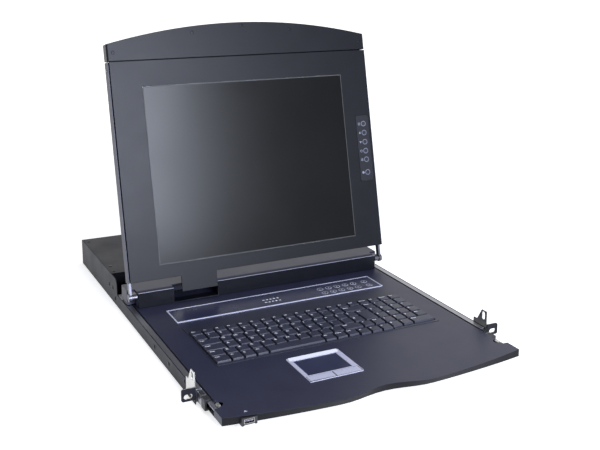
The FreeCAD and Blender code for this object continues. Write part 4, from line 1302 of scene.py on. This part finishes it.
@dataclass
class RearPorts(SubAssembly):
    """Pin sockets of the rear connectors, their numbers and the power switch's marks, in millimetres.

    Attributes:
        widest: Width below which a connector body has pin sockets.
        behind: Place along Y beyond which such a body reaches the rear panel.
        pitch, row: Distance between sockets in a row, and between rows.
        socket, socket_high: Radius and thickness of a socket.
        number_mm, number_drop: Height of a port's number and its distance below the port's middle.
        mark_mm: Height of a switch mark.
        mark_left, mark_inset: Its distance beside the switch and from the switch's nearer end.
    """

    widest: float = 17.0
    behind: float = 610.5
    pitch: float = 2.3
    row: float = 2.0
    socket: float = 0.5
    socket_high: float = 0.1
    number_mm: float = 4.0
    number_drop: float = 12.0
    mark_mm: float = 3.2
    mark_left: float = 5.5
    mark_inset: float = 3.0

    def build(self) -> None:
        """Make the sockets, the numbers and the switch marks."""
        bodies = [box for box in islands("port_inserts")
                  if box[1].x - box[0].x < self.widest * MM and box[1].y > self.behind * MM]
        bodies.sort(key=lambda box: -box[0].x)
        sockets, legends = [], []
        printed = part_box("rear_panel")[1].y + INK_MIDDLE
        for index, (low, high) in enumerate(bodies, start=1):
            centre = (low + high) / 2
            for row in (-1, 0, 1):
                for column in range(-2, 3):
                    along = column * self.pitch + (row == 0) * self.pitch / 2 - self.pitch / 4
                    spot = Vector((centre.x + along * MM, high.y - SINK, centre.z + row * self.row * MM))
                    socket = disc(self.socket * MM, self.socket_high * MM, segments=10)
                    sockets.append(moved(socket, Facing.REAR.place(spot)))
            spot = Vector((centre.x, printed, centre.z - self.number_drop * MM))
            legends.append(Legend(str(index), self.number_mm * MM, spot, Facing.REAR))
        low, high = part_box("power_rocker")
        inset = self.mark_inset * MM
        for word, level in (("I", high.z - inset), ("O", low.z + inset)):
            spot = Vector((low.x - self.mark_left * MM, printed, level))
            legends.append(Legend(word, self.mark_mm * MM, spot, Facing.REAR))
        self.keep("port_pin_sockets", joined(sockets), CONTACT_GOLD, "port_inserts")
        self.keep("rear_panel_numbers", print_legends(legends), LEGEND_INK, "rear_panel")


@dataclass
class FrontSocket(SubAssembly):
    """Tongue and contacts of the socket under the tray's front edge, and its mark, in millimetres.

    Attributes:
        tongue, tongue_edge: Size of the tongue and its edge radius.
        recess, rise: Its depth behind the socket's mouth and its height above the socket's middle.
        contact, pitch: Size of a contact and the distance between contacts.
        mark_mm, mark_high: Height and thickness of the mark.
        mark_back: Distance of the mark behind the socket's mouth.
    """

    tongue: tuple[float, float, float] = (11.2, 7.0, 1.7)
    tongue_edge: float = 0.15
    recess: float = 1.2
    rise: float = 0.6
    contact: tuple[float, float, float] = (1.0, 5.5, 0.1)
    pitch: float = 2.4
    mark_mm: float = 5.0
    mark_high: float = 0.05
    mark_back: float = 12.5

    def build(self) -> None:
        """Make the tongue, its contacts and the mark."""
        low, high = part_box("usb_shell")
        centre, tongue, contact = (low + high) / 2, Vector(self.tongue) * MM, Vector(self.contact) * MM
        middle = Vector((centre.x, low.y + self.recess * MM + tongue.y / 2, centre.z + self.rise * MM))
        self.keep("front_socket_tongue", moved(block(tongue, self.tongue_edge * MM), middle), PAD_LACQUER,
                  "usb_shell")
        under = Vector((0, 0, SINK - tongue.z / 2 - contact.z / 2))
        steps = [Vector((step * self.pitch * MM, 0, 0)) for step in (-1.5, -0.5, 0.5, 1.5)]
        contacts = joined(moved(block(contact), middle + step + under) for step in steps)
        self.keep("front_socket_contacts", contacts, CONTACT_GOLD, "usb_shell")
        spot = Vector((centre.x, low.y + self.mark_back * MM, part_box("tray_shell")[1].z - INK_SINK))
        mark = moved(sign_shape(Sign.UP, self.mark_mm * MM, self.mark_high * MM), spot)
        self.keep("front_socket_mark", mark, ICON_INK, "tray_shell")


def main() -> None:
    """Build every part of the scene in order."""
    logging.basicConfig(level=logging.INFO, format="%(name)s: %(message)s")
    Studio().build()
    dress_nodes()
    for part in (Housings(), NOSE_PAINTED_SHADE, HINGE_LIP_HIGHLIGHT, Fasteners(), Keyboard(), Touchpad(), ControlStrip(),
                 ScreenControls(), RearPorts(), FrontSocket()):
        part.build()


if __name__ == "__main__":
    main()
